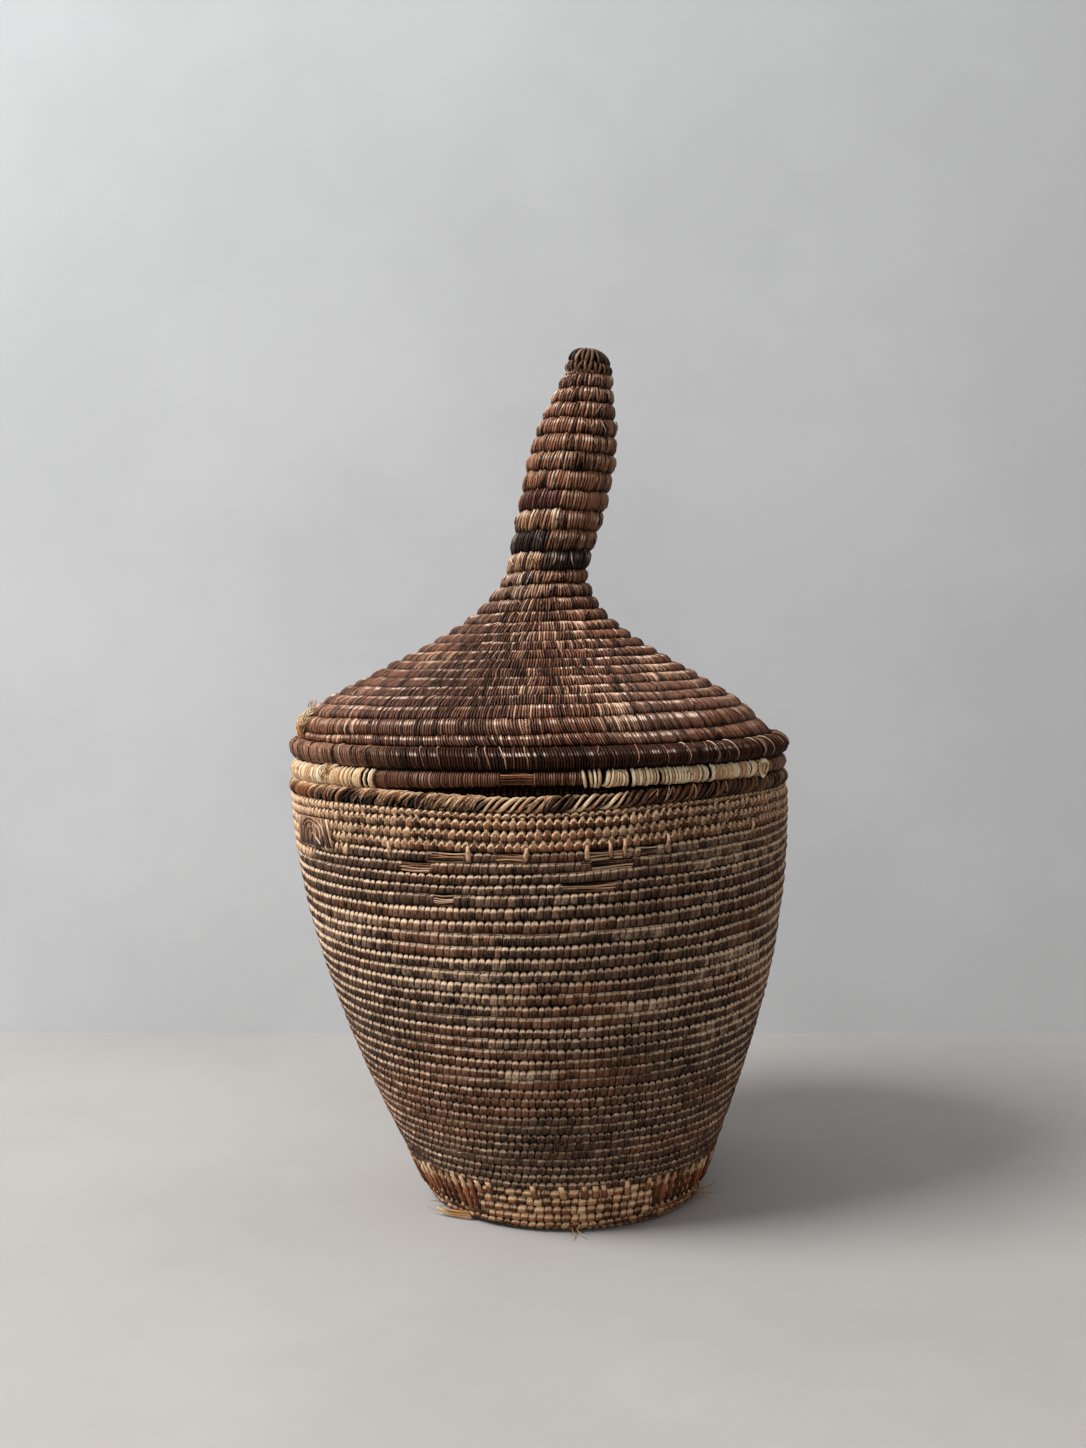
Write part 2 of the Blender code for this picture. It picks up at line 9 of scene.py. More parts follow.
import bpy
import numpy as np
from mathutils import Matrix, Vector


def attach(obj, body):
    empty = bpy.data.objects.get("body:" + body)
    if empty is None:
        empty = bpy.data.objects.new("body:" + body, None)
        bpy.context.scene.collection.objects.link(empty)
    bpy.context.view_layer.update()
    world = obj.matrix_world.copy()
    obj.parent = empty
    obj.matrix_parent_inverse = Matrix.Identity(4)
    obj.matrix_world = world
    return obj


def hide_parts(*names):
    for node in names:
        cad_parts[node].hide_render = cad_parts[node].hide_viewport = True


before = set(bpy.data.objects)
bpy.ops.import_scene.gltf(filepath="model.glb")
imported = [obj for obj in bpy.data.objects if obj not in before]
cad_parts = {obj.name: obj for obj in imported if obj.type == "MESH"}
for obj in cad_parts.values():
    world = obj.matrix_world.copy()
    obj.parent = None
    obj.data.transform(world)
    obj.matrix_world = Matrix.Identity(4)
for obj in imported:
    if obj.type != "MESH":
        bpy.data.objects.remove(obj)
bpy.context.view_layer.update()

# Body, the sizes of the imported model
FOOT_RADIUS = 0.0622
RIM_RADIUS = 0.1096
RIM_HEIGHT = 0.1863
WALL_FLARE_AT_FOOT = math.radians(23)
FOOT_HANDLE = 0.0585
RIM_HANDLE = 0.068
FOOT_CORNER = 0.0026
BODY_LEAN = -0.0115
ROW_TILT_MIDDLE = math.radians(0.8)
ROW_TILT_SHOULDER = math.radians(1.6)
RIM_TILT = math.radians(1.1)
RIM_FRONT_RISE = math.radians(2.2)
SHOULDER_DEPTH = 0.0363
SHOULDER_HEIGHT = RIM_HEIGHT - SHOULDER_DEPTH
RIM_DIP = 0.0028
RIM_DIP_SHARPNESS = 8
COIL_THICKNESS = 0.0050
BASE_PITCH = 0.0046
WALL_PITCH_LOW = 0.0040
WALL_PITCH_HIGH = 0.0054
BASE_BAND_PITCH = 0.0044
BAND_PITCH = 0.0040
BASE_BAND_ROWS = 4
BAND_ROWS = 6
RIM_ROWS = 2
KNOT_RADIUS = 0.0060
KNOT_STRANDS = 11
BRAID_RADIUS = 0.0027

# Lid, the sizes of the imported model
BRIM_INSET = 0.0040
BRIM_RADIUS = RIM_RADIUS - BRIM_INSET
BRIM_COIL_RADIUS = 0.0044
EDGE_COIL_RADIUS = 0.0037
LID_COIL_THICKNESS = 0.0072
LID_PITCH = 0.0073
CONE_HEIGHT = 0.056
CONE_TOP_RADIUS = 0.0260
CONE_SHOULDER = 0.0058
CONE_HOLLOW = 0.0010
NECK_RADIUS = 0.0140
NECK_HEIGHT = 0.078
KNOB_PITCH_LOW = 0.0092
KNOB_PITCH_HIGH = 0.0064
KNOB_BELLY_RADIUS = 0.0152
KNOB_BELLY_HEIGHT = 0.109
KNOB_TIP_HEIGHT = 0.1629
KNOB_TIP_RADIUS = 0.0062
KNOB_OVERHANG = 0.0215
KNOB_LEAN = math.radians(7)
CONE_SIDEWAYS = 0.0050
LID_TILT = math.radians(0.7)
LID_SHIFT = 0.0007
COLLAR_ROWS = 3
COLLAR_PITCH = 0.0046
COLLAR_THICKNESS = 0.0044
COLLAR_GAP = 0.0003
SEAM = 0.0003
LID_SEAT = 0.0004
OUTLINE_SAMPLES = 60
BODY_COIL_START = math.radians(165)
LID_COIL_START = math.radians(10)
FRONT = math.radians(-90)
TAPERED_END = 0.18

# The photograph's camera
CAMERA_PLACE = (-0.0095, -0.80, 0.2777)
CAMERA_PITCH = math.radians(90 - 4.827)
CAMERA_LENS = 44.75
SENSOR = 36.0

# Spacing of the stitches, strips and wraps along their coils
FOOT_STITCH = 0.0036
WALL_STITCH = 0.0030
BAND_STITCH = 0.0033
INNER_STITCH = 0.0036
LID_INNER_STITCH = 0.0030
DISC_STITCH = 0.0034
DISC_INNER_STITCH = 0.0038
COLLAR_WRAP = 0.0022
BRAID_STRIP = 0.0034
CONE_WRAP = 0.00108
BRIM_WRAP = 0.00115

# How far the grass core lies under the crests, its facets in a turn and round it, and steps in one map cell
CORE_INSET = 0.0007
BAND_CORE_INSET = 0.0008
BRIM_CORE_INSET = 0.0004
EDGE_CORE_INSET = 0.0005
COLLAR_CORE_INSET = 0.0006
CORE_STEPS = 84
DISC_CORE_STEPS = 60
BRAID_CORE_STEPS = 160
CONE_CORE_STEPS = 72
KNOB_CORE_STEPS = 36
CORE_SIDES = 10
CELL_STEPS = 24

# Waves by which the rows stray from their line: waves in a turn, and the shift from row to row
ROW_WAVES = ((3.0, 1.7), (7.0, -2.3), (13.0, 0.9))
ROW_STRAY = 0.022

# The patch, the loose strip, the straw tuft and the tail loop, with angles in degrees from the front
PATCH_ANGLE = -59.5
PATCH_HALF_ANGLE = 8.6
PATCH_HALF_HEIGHT = 0.0056
STRIP_ANGLE = 40.5
TUFT_ANGLE = -78.5
LOOP_ANGLE = 57.5
LOOP_RADIUS = 0.0035
LOOP_FIBRE = 0.0006
# The loop's two curls: where each begins and ends in radians, its share of the radius and its gap outward
LOOP_CURLS = ((-0.6, 5.9, 1.0, 0.0), (-1.1, 2.4, 0.86, 0.0007))
# The edge coil's size where the loop hangs, as a share of its radius
EDGE_SIZE_AT_LOOP = 0.85

# The studio: its floor and backdrop, and each lamp's name, place, size and power
STAGE_REACH = 4
FLOOR_HEIGHT = -0.0004
BACKDROP_PLACE = 0.27
FLOOR_TONE = (186, 183, 180)
BACKDROP_TONE = (213, 215, 217)
SKY_TONE = (200, 199, 197)
WORLD_LIGHT = (1.0, 0.965, 0.925, 1.0)
LAMP_TARGET = (0.0, 0.0, 0.15)
LAMPS = (("key", (-1.25, -0.62, 1.62), 1.0, 43.0), ("fill", (-0.3, -1.7, 0.8), 0.9, 1.6))

UP = np.array((0.0, 0.0, 1.0))
LEVEL = np.array((1.0, 1.0, 0.0))
# Colour of the painted highlight glints on the wraps
GLINT_TONE = (244, 220, 198)
NOISE_ROUGHNESS = 0.6


def smooth_step(value, low, high):
    """0 below low, 1 above high, and an even curve between."""
    share = np.clip((value - low) / (high - low), 0.0, 1.0)
    return share * share * (3.0 - 2.0 * share)


def bezier(points, samples=OUTLINE_SAMPLES):
    """Points along a Bezier curve of any degree."""
    degree = len(points) - 1
    share = np.linspace(0.0, 1.0, samples)[:, None]
    curve = np.zeros((samples, 2))
    for index, point in enumerate(points):
        weight = math.comb(degree, index) * share ** index * (1.0 - share) ** (degree - index)
        curve += weight * np.array(point)
    return curve


def through(points, samples=OUTLINE_SAMPLES // 4):
    """A smooth curve through the given points."""
    nodes = np.array(points)
    padded = np.vstack([2 * nodes[0] - nodes[1], nodes, 2 * nodes[-1] - nodes[-2]])
    curve = []
    for first, start, end, last in zip(padded, padded[1:], padded[2:], padded[3:]):
        share = np.linspace(0.0, 1.0, samples, endpoint=False)[:, None]
        leaving = (end - first) / 2
        arriving = (last - start) / 2
        rise = end - start
        curve.append(start + share * leaving + share ** 2 * (3 * rise - 2 * leaving - arriving)
                     + share ** 3 * (leaving + arriving - 2 * rise))
    curve.append(nodes[-1:])
    return np.vstack(curve)


class Outline:
    """The middle line of a wound wall, as radius and height against its own length."""

    def __init__(self, curves):
        points = np.vstack(curves)
        steps = np.linalg.norm(np.diff(points, axis=0), axis=1)
        self.points = points[np.append(True, steps > 1e-6)]
        steps = np.linalg.norm(np.diff(self.points, axis=0), axis=1)
        self.lengths = np.append(0.0, np.cumsum(steps))
        self.length = self.lengths[-1]

    def at(self, length):
        """Radius and height at this length."""
        return np.stack([np.interp(length, self.lengths, self.points[:, axis]) for axis in (0, 1)], -1)

    def outward(self, length):
        """Unit normal that points out of the form."""
        reach = BASE_PITCH / 2
        along = self.at(np.minimum(length + reach, self.length)) - self.at(np.maximum(length - reach, 0.0))
        along /= np.linalg.norm(along, axis=-1, keepdims=True)
        return np.stack([along[..., 1], -along[..., 0]], -1)


def body_outline():
    """From the middle of the base, round the foot's corner and up the wall."""
    half = COIL_THICKNESS / 2
    wall_foot = np.array([FOOT_RADIUS - half, half + FOOT_CORNER * 0.7])
    wall_top = np.array([RIM_RADIUS - half, RIM_HEIGHT - BRAID_RADIUS - SEAM])
    rise = np.array([math.sin(WALL_FLARE_AT_FOOT), math.cos(WALL_FLARE_AT_FOOT)])
    flat_end = np.array([wall_foot[0] - FOOT_CORNER, half])
    corner = np.array([wall_foot[0] - FOOT_CORNER * 0.3, half])
    return Outline([
        [(0.0, half), flat_end],
        bezier([flat_end, corner, wall_foot]),
        bezier([wall_foot, wall_foot + FOOT_HANDLE * rise, wall_top - (0.0, RIM_HANDLE), wall_top]),
    ]), flat_end[0]


def lid_outline():
    """From the coil above the brim, up the cone, in to the neck and out over the knob."""
    slope = np.array([-0.84, 0.54])
    start = np.array([BRIM_RADIUS, 0.0]) + slope * (BRIM_COIL_RADIUS + SEAM)
    cone_top = np.array([CONE_TOP_RADIUS, CONE_HEIGHT])

    def up_the_cone(share, bulge):
        return start + share * (cone_top - start) + (0.0, bulge)

    return Outline([through([
        start,
        up_the_cone(0.12, CONE_SHOULDER),
        up_the_cone(0.36, 0.65 * CONE_SHOULDER),
        up_the_cone(0.61, 0.15 * CONE_SHOULDER),
        up_the_cone(0.84, -CONE_HOLLOW),
        cone_top,
        (NECK_RADIUS * 1.22, NECK_HEIGHT - 0.0100),
        (NECK_RADIUS, NECK_HEIGHT),
        (KNOB_BELLY_RADIUS, KNOB_BELLY_HEIGHT),
        (KNOB_BELLY_RADIUS * 0.93, KNOB_BELLY_HEIGHT * 0.55 + KNOB_TIP_HEIGHT * 0.45),
        (KNOB_TIP_RADIUS, KNOB_TIP_HEIGHT),
    ])])


def body_place(angle, radius, height):
    """World place of a point of the body, with the old basket's lean and uneven rows."""
    x = radius * np.cos(angle)
    y = radius * np.sin(angle)
    near_rim = smooth_step(height, SHOULDER_HEIGHT, RIM_HEIGHT)
    near_shoulder = smooth_step(height, 0.5 * RIM_HEIGHT, SHOULDER_HEIGHT)
    tilt = ROW_TILT_MIDDLE * smooth_step(height, 0.1 * RIM_HEIGHT, 0.3 * RIM_HEIGHT)
    tilt = tilt + (ROW_TILT_SHOULDER - ROW_TILT_MIDDLE) * near_shoulder
    tilt = tilt + (RIM_TILT - ROW_TILT_SHOULDER) * near_rim
    dip = RIM_DIP * near_rim * np.maximum(0.0, -np.sin(angle)) ** RIM_DIP_SHARPNESS
    rise = x * np.tan(tilt) - y * math.tan(RIM_FRONT_RISE) * near_rim - dip
    return np.stack([x + BODY_LEAN * height / RIM_HEIGHT, y, height + rise], -1)


EDGE_HEIGHT = RIM_HEIGHT + BRAID_RADIUS + LID_SEAT + EDGE_COIL_RADIUS
BRIM_HEIGHT = EDGE_HEIGHT + EDGE_COIL_RADIUS + SEAM + BRIM_COIL_RADIUS
SPINE = through([
    (0.0, 0.0),
    (0.30 * CONE_HEIGHT, -CONE_SIDEWAYS),
    (0.80 * CONE_HEIGHT, -0.4 * CONE_SIDEWAYS),
    (NECK_HEIGHT, 0.16 * KNOB_OVERHANG),
    (KNOB_BELLY_HEIGHT, 0.50 * KNOB_OVERHANG),
    (KNOB_TIP_HEIGHT, KNOB_OVERHANG),
])


def lid_place(angle, radius, height):
    """World place of a point of the lid, given by its height above the brim coil."""
    x = radius * np.cos(angle)
    y = radius * np.sin(angle)
    in_knob = smooth_step(height, CONE_HEIGHT, KNOB_BELLY_HEIGHT)
    tilt = LID_TILT * (1.0 - in_knob) - KNOB_LEAN * in_knob
    rise = x * np.tan(tilt) - y * math.tan(RIM_FRONT_RISE)
    centre = BODY_LEAN + LID_SHIFT + np.interp(height, SPINE[:, 0], SPINE[:, 1])
    return np.stack([x + centre, y, BRIM_HEIGHT + height + rise], -1)


def graded_rows(start, end, first_pitch, last_pitch):
    """Row starts from one length to another, as near the two pitches as whole rows allow."""
    count = max(1, round(2 * (end - start) / (first_pitch + last_pitch)))
    steps = np.append(0.0, np.cumsum(np.linspace(first_pitch, last_pitch, count)))
    return list(start + steps * (end - start) / steps[-1])


def even_rows(start, end, pitch):
    """Row starts from one length to another, all of one pitch."""
    return graded_rows(start, end, pitch, pitch)


def body_rows():
    """The body's outline, its row starts, and the row number at which each of its zones begins."""
    outline, flat_length = body_outline()
    corner_end = flat_length + FOOT_CORNER * 1.15
    base_band_end = corner_end + BASE_BAND_ROWS * BASE_BAND_PITCH
    rim_start = outline.length - RIM_ROWS * BAND_PITCH
    band_start = rim_start - BAND_ROWS * BAND_PITCH
    zones = [
        even_rows(KNOT_RADIUS + SEAM, flat_length, BASE_PITCH),
        even_rows(flat_length, corner_end, corner_end - flat_length),
        even_rows(corner_end, base_band_end, BASE_BAND_PITCH),
        graded_rows(base_band_end, band_start, WALL_PITCH_LOW, WALL_PITCH_HIGH),
        even_rows(band_start, rim_start, BAND_PITCH),
        even_rows(rim_start, outline.length, BAND_PITCH),
    ]
    rows = zones[0][:1]
    marks = [0]
    for zone in zones:
        rows += zone[1:]
        marks.append(len(rows) - 1)
    return outline, rows, marks


def lid_rows():
    """The lid's outline, its row starts, and the row at which the knob begins."""
    outline = lid_outline()
    neck_length = outline.lengths[np.argmin(abs(outline.points[:, 1] - NECK_HEIGHT))]
    cone = even_rows(LID_COIL_THICKNESS * 0.1, neck_length, LID_PITCH)
    knob = graded_rows(neck_length, outline.length, KNOB_PITCH_LOW, KNOB_PITCH_HIGH)
    return outline, cone + knob[1:], len(cone) - 1


def scatter(points, seed):
    """One fixed value from 0 to 1 for each whole-number point."""
    value = np.sin(points @ np.array([12.9898, 78.233, 37.719]) + seed * 4.7) * 43758.5453
    return value - np.floor(value)


def drift(points, size, seed):
    """Values from 0 to 1 that change smoothly over about this size, a length or one for each axis."""
    cell = points / np.asarray(size)
    base = np.floor(cell)
    part = cell - base
    part = part * part * (3.0 - 2.0 * part)
    total = 0.0
    for corner in ((a, b, c) for a in (0, 1) for b in (0, 1) for c in (0, 1)):
        weight = np.prod(np.where(corner, part, 1.0 - part), axis=-1)
        total = total + weight * scatter(base + np.array(corner), seed)
    return total


class Coil:
    """A wound coil: where its rows begin, how it is placed and how far its rows swell."""

    def __init__(self, outline, starts, place, start_angle, relief, inner_relief):
        self.outline = outline
        self.starts = np.array(starts)
        self.rows = len(starts) - 1
        self.place = place
        self.start_angle = start_angle
        self.reliefs = {1: np.array(relief), -1: np.array(inner_relief)}

    def span(self, turn):
        """The rows between which a turn lies, which close up where the coil tapers."""
        low = np.maximum(turn, 0.0)
        return low, np.minimum(turn + 1.0, self.rows)

    def length_at(self, row):
        return np.interp(row, np.arange(self.rows + 1), self.starts)

    def around(self, turn):
        """Length of one turn of the coil here."""
        low, high = self.span(turn)
        return 2 * np.pi * np.maximum(self.outline.at(self.length_at((low + high) / 2))[..., 0], 0.004)

    def profile(self, turn, share, side):
        """How far the row's surface stands out of the wall's middle line."""
        table = self.reliefs[side]
        groove, crest, power = (np.interp(turn + 0.5, table[:, 0], table[:, k]) for k in (1, 2, 3))
        low, high = self.span(turn)
        part = share - np.floor(share)
        swell = (1.0 - np.abs(2.0 * part - 1.0) ** power) ** (1.0 / power)
        return groove + (crest - groove) * swell * np.clip(high - low, 0.0, 1.0)

    def surface(self, turn, share, lift):
        """World place of a point of the coil, a lift out of the wall's middle line."""
        low, high = self.span(turn)
        row = low + (high - low) * share
        angle = self.start_angle + 2 * np.pi * turn
        sway = sum(np.sin(waves * angle + shift * row) for waves, shift in ROW_WAVES)
        length = self.length_at(np.clip(row + ROW_STRAY * sway, 0.0, self.rows))
        at = self.outline.at(length) + self.outline.outward(length) * np.asarray(lift)[..., None]
        return self.place(angle, at[..., 0], at[..., 1])

    def bundle(self, turn, inset):
        """The grass core's section points, an inset under the row's surface outside and inside."""
        around = 2 * np.pi * np.arange(CORE_SIDES)[None, :] / CORE_SIDES
        share = 0.5 + 0.49 * np.sin(around)
        outer, inner = (self.profile(turn, np.full_like(share, 0.5), side) - inset for side in (1, -1))
        lift = np.where(np.cos(around) > 0.0, outer, inner) * np.cos(around)
        return self.surface(turn, share, lift)


class Ring:
    """A coil laid once round, in turns from the front. Its row runs round its own section."""

    def __init__(self, place, radius, top, thickness, start, end, start_size=1.0, end_size=1.0):
        self.place = place
        self.radius = radius
        self.top = top
        self.thickness = thickness
        self.bounds = (start / 360.0, end / 360.0)
        self.sizes = (start_size, end_size)

    def around(self, turn):
        return np.full(np.shape(turn), 2 * np.pi * self.radius)

    def profile(self, turn, share, side):
        return np.zeros(np.broadcast_shapes(np.shape(turn), np.shape(share)))

    def surface(self, turn, share, lift):
        """World place of a point of the ring: share 0 is inside, 1/4 below, 1/2 outside, 3/4 on top."""
        tube = self.thickness * np.interp(turn, self.bounds, self.sizes)
        around = 2 * np.pi * share - np.pi
        angle = FRONT + 2 * np.pi * turn
        radius = self.radius + (tube + lift) * np.cos(around)
        height = self.top - tube + (tube + lift) * np.sin(around)
        return self.place(angle, radius, height)

    def bundle(self, turn, inset):
        """The grass core's section points, an inset under the ring's surface."""
        return self.surface(turn, 0.5 + np.arange(CORE_SIDES)[None, :] / CORE_SIDES, -inset)


class Piece:
    """A mesh in the making: closed stitches and strands, each with marks for its fibre and a map cell."""

    MARKS = ("stitch", "across", "along", "wear", "hue")

    def __init__(self):
        self.points = []
        self.faces, self.cells, self.maps, self.slots = ({4: [], 3: []} for kind in range(4))
        self.marks = {mark: [] for mark in self.MARKS}
        self.finishes = []
        self.count = 0
        self.cell_count = 0

    def add(self, points, faces, maps, cells, finish, marks):
        """Add copies of one form: points (copies, n, 3), and by corner count the faces of one copy,
        their places in its map cells and the cell of each face."""
        copies, size = points.shape[:2]
        if finish not in self.finishes:
            self.finishes.append(finish)
        cells_each = 1 + max(int(np.max(cells[k])) for k in cells)
        starts = self.count + size * np.arange(copies)
        cell_starts = self.cell_count + cells_each * np.arange(copies)
        for corners in faces:
            many = len(faces[corners])
            self.faces[corners].append((starts[:, None, None] + faces[corners]).reshape(-1, corners))
            self.cells[corners].append((cell_starts[:, None] + cells[corners]).reshape(-1))
            places = np.broadcast_to(maps[corners], (copies, many, corners, 2))
            self.maps[corners].append(places.reshape(-1, corners, 2))
            self.slots[corners].append(np.full(copies * many, self.finishes.index(finish)))
        self.points.append(points.reshape(-1, 3))
        for mark in self.MARKS:
            self.marks[mark].append(np.broadcast_to(marks[mark], (copies, size)).reshape(-1))
        self.count += copies * size
        self.cell_count += cells_each * copies

    def finish(self, node, how, body, slot):
        """Make the object that stands for a node, named for how it is made."""
        name = f"{node}_{how}"
        mesh = bpy.data.meshes.new(name)
        points = np.vstack(self.points)
        corner_lists, starts, sizes, maps, slots = ([] for kind in range(5))
        side = math.ceil(math.sqrt(self.cell_count))
        offset = 0
        for corners in (4, 3):
            faces = np.vstack(self.faces[corners])
            cell = np.concatenate(self.cells[corners])
            origin = np.stack([cell % side, cell // side], -1)[:, None, :]
            maps.append(((origin + 0.04 + 0.92 * np.vstack(self.maps[corners])) / side).reshape(-1, 2))
            corner_lists.append(faces.reshape(-1))
            starts.append(offset + corners * np.arange(len(faces)))
            sizes.append(np.full(len(faces), corners))
            slots.append(np.concatenate(self.slots[corners]))
            offset += corners * len(faces)
        mesh.vertices.add(len(points))
        mesh.vertices.foreach_set("co", points.astype(np.float32).reshape(-1))
        mesh.loops.add(offset)
        mesh.loops.foreach_set("vertex_index", np.concatenate(corner_lists).astype(np.int32))
        mesh.polygons.add(sum(len(part) for part in starts))
        for setting, values in (("loop_start", starts), ("loop_total", sizes), ("material_index", slots)):
            mesh.polygons.foreach_set(setting, np.concatenate(values).astype(np.int32))
        mesh.polygons.foreach_set("use_smooth", np.ones(len(mesh.polygons), bool))
        layer = mesh.uv_layers.new(name="OFBake")
        layer.uv.foreach_set("vector", np.vstack(maps).astype(np.float32).reshape(-1))
        for mark in self.MARKS:
            attribute = mesh.attributes.new(mark, "FLOAT", "POINT")
            attribute.data.foreach_set("value", np.concatenate(self.marks[mark]).astype(np.float32))
        mesh.update(calc_edges=True)
        mesh.validate()
        for finish in self.finishes:
            mesh.materials.append(FINISHES[finish])
        thing = bpy.data.objects.new(name, mesh)
        bpy.context.scene.collection.objects.link(thing)
        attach(thing, body)
        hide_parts(node)


class Form:
    """The faces of one stitch or tube in the making, with their map places and map cells."""

    def __init__(self):
        self.lists = {4: ([], [], []), 3: ([], [], [])}

    def add(self, vertices, places, cell=0):
        for values, value in zip(self.lists[len(vertices)], (vertices, places, cell)):
            values.append(value)

    def arrays(self):
        """Faces, map places and cells, each by corner count."""
        return [{corners: np.array(self.lists[corners][kind]) for corners in self.lists} for kind in range(3)]


def pillow_form(across, along):
    """Faces and map places of one pillow: a grid on top, a strip below it and two end caps."""
    def top_place(i, j):
        return 0.02 + 0.70 * i / across, 0.12 + 0.76 * j / along

    def low_place(i, j):
        return 0.78 + 0.20 * (i > 0), 0.12 + 0.76 * j / along

    def cap_place(i, j):
        dip = 0.02 + 0.06 * math.sin(math.pi * i / across)
        return 0.02 + 0.70 * i / across, 1.0 - dip if j else dip

    def add(place, *corners):
        form.add([i + (across + 1) * j for i, j in corners], [place(i, j) for i, j in corners])

    form = Form()
    for j in range(along):
        for i in range(across):
            add(top_place, (i, j), (i + 1, j), (i + 1, j + 1), (i, j + 1))
        add(low_place, (0, j), (0, j + 1), (across, j + 1), (across, j))
    for i in range(1, across):
        add(cap_place, (0, 0), (i + 1, 0), (i, 0))
        add(cap_place, (0, along), (i, along), (i + 1, along))
    return form.arrays()


def tube_form(steps, sides):
    """Faces and map places of one closed tube, whose long side takes a map cell every few steps."""
    reach = min(steps, CELL_STEPS)

    def side_place(k, s, cell):
        return 0.02 + 0.96 * s / sides, 0.14 + 0.72 * (k - cell * CELL_STEPS) / reach

    def cap_place(k, s, cell):
        around = 2 * math.pi * s / sides
        return 0.5 + 0.4 * math.cos(around), (0.94 if k else 0.06) + 0.05 * math.sin(around)

    def add(place, cell, *corners):
        form.add([k * sides + s % sides for k, s in corners], [place(k, s, cell) for k, s in corners], cell)

    form = Form()
    for k in range(steps):
        for s in range(sides):
            add(side_place, k // CELL_STEPS, (k, s), (k + 1, s), (k + 1, s + 1), (k, s + 1))
    for s in range(1, sides - 1):
        add(cap_place, 0, (0, 0), (0, s), (0, s + 1))
        add(cap_place, (steps - 1) // CELL_STEPS, (steps, 0), (steps, s + 1), (steps, s))
    return form.arrays()


def fibre_marks(shape, across, along, wear, hue, seed):
    """What each copy's points carry: the copy's own number, their place on it, its wear and painted light,
    and its hue.
    """
    count = shape[0]

    def of_points(values):
        return np.broadcast_to(values, shape).reshape(count, -1)

    def of_copies(values):
        return np.broadcast_to(np.asarray(values, float), (count,))[:, None]

    return {
        "stitch": of_copies(fixed_random(seed + 1).random(count)),
        "across": of_points(across),
        "along": of_points(along),
        "wear": of_copies(wear),
        "hue": of_copies(hue),
    }


def fixed_random(seed):
    """Draws that are the same in each run."""
    return np.random.default_rng(seed)


def stitch_spots(coil, begin, end, spacing, jitter, seed, whole_turns=False):
    """Turns at which the stitches of a stretch sit, and their widths, which vary by the jitter."""
    fine = np.linspace(begin, end, int((end - begin) * 90) + 8)
    rate = coil.around(fine) / spacing
    if whole_turns:
        rate = np.full_like(rate, round(np.mean(rate)))
    total = np.append(0.0, np.cumsum((rate[1:] + rate[:-1]) / 2 * np.diff(fine)))
    count = max(1, round(total[-1]))
    edges = np.arange(count + 1) * total[-1] / count
    edges[1:-1] += jitter * (fixed_random(seed).random(count - 1) - 0.5)
    turns = np.interp(edges, total, fine)
    middle = (turns[1:] + turns[:-1]) / 2
    return middle, np.diff(turns) * coil.around(middle)


def lay(piece, finish, coil, turns, width, low=0.0, high=1.0, lean=0.0, camber=0.0004, sink=0.0003,
        rise=0.0, tip=0.0, foot=0.0, rounding=0.05, scallop=0.025, side=1, grid=(4, 6), wear=0.3, hue=0.5,
        seed=0, blunt=8.0, square=0.75, bow=0.0, bridge=-1.0, merge=0.0):
    """Lay stitches over a coil: closed pillows across its row, each as wide and as long as told."""
    across, along = grid
    count = len(turns)
    if not count:
        return

    def each(value):
        return np.broadcast_to(np.asarray(value, float), (count,))[:, None, None]

    u = np.linspace(-1.0, 1.0, across + 1)[None, None, :]
    v = (0.5 - 0.5 * np.cos(np.pi * np.linspace(0.0, 1.0, along + 1)))[None, :, None]
    slimming = 1.0 - each(tip) * np.clip((v - 0.5) / 0.5, 0.0, 1.0)
    slimming = slimming - each(foot) * np.clip(1.0 - v / 0.5, 0.0, 1.0)
    share = each(low) + (each(high) - each(low)) * v
    share = share - each(rounding) * u * u * smooth_step(v, 0.3, 1.0)
    share = share + each(scallop) * u * u * smooth_step(1.0 - v, 0.3, 1.0)
    spot = each(turns)
    reach = u * each(width) * slimming / 2 + each(lean) * (v - 0.5) + each(bow) * (4.0 * v * (1.0 - v) - 0.5)
    turn = spot + reach / coil.around(spot)
    arch = 1.0 - (1.0 - (1.0 - u * u) ** square) * (1.0 - each(merge) * (1.0 - smooth_step(v, 0.15, 0.65)))
    swell = arch * (1.0 - np.abs(2.0 * v - 1.0) ** blunt)
    ground = np.maximum(coil.profile(spot, share, side), each(bridge) * (1.0 - np.abs(2.0 * v - 1.0) ** 6))
    lift = ground + each(rise) - each(sink) + (each(camber) + each(sink)) * swell
    points = coil.surface(turn, share, side * lift)
    faces, maps, cells = pillow_form(across, along)
    if side < 0:
        faces = {k: faces[k][:, ::-1] for k in faces}
        maps = {k: maps[k][:, ::-1] for k in maps}
    marks = fibre_marks((count, along + 1, across + 1), u, v, wear, hue, seed)
    piece.add(points.reshape(count, -1, 3), faces, maps, cells, finish, marks)


def lay_core(piece, coil, begin, end, inset=CORE_INSET, steps_per_turn=CORE_STEPS):
    """The grass bundle that the stitches hold: one long closed tube that fills the coil."""
    steps = max(4, round((end - begin) * steps_per_turn))
    turn = np.linspace(begin, end, steps + 1)[:, None]
    add_tubes(piece, "core", coil.bundle(turn, inset)[None], wear=0.2, seed=3)


def add_tubes(piece, finish, points, wear=0.3, hue=0.5, seed=0):
    """Add closed tubes given by their section rings: points (tubes, steps + 1, sides, 3)."""
    count, rings, sides = points.shape[:3]
    faces, maps, cells = tube_form(rings - 1, sides)
    across = np.cos(2 * np.pi * np.arange(sides) / sides)[None, None, :]
    along = np.linspace(0.0, 1.0, rings)[None, :, None]
    marks = fibre_marks((count, rings, sides), across, along, wear, hue, seed)
    piece.add(points.reshape(count, -1, 3), faces, maps, cells, finish, marks)


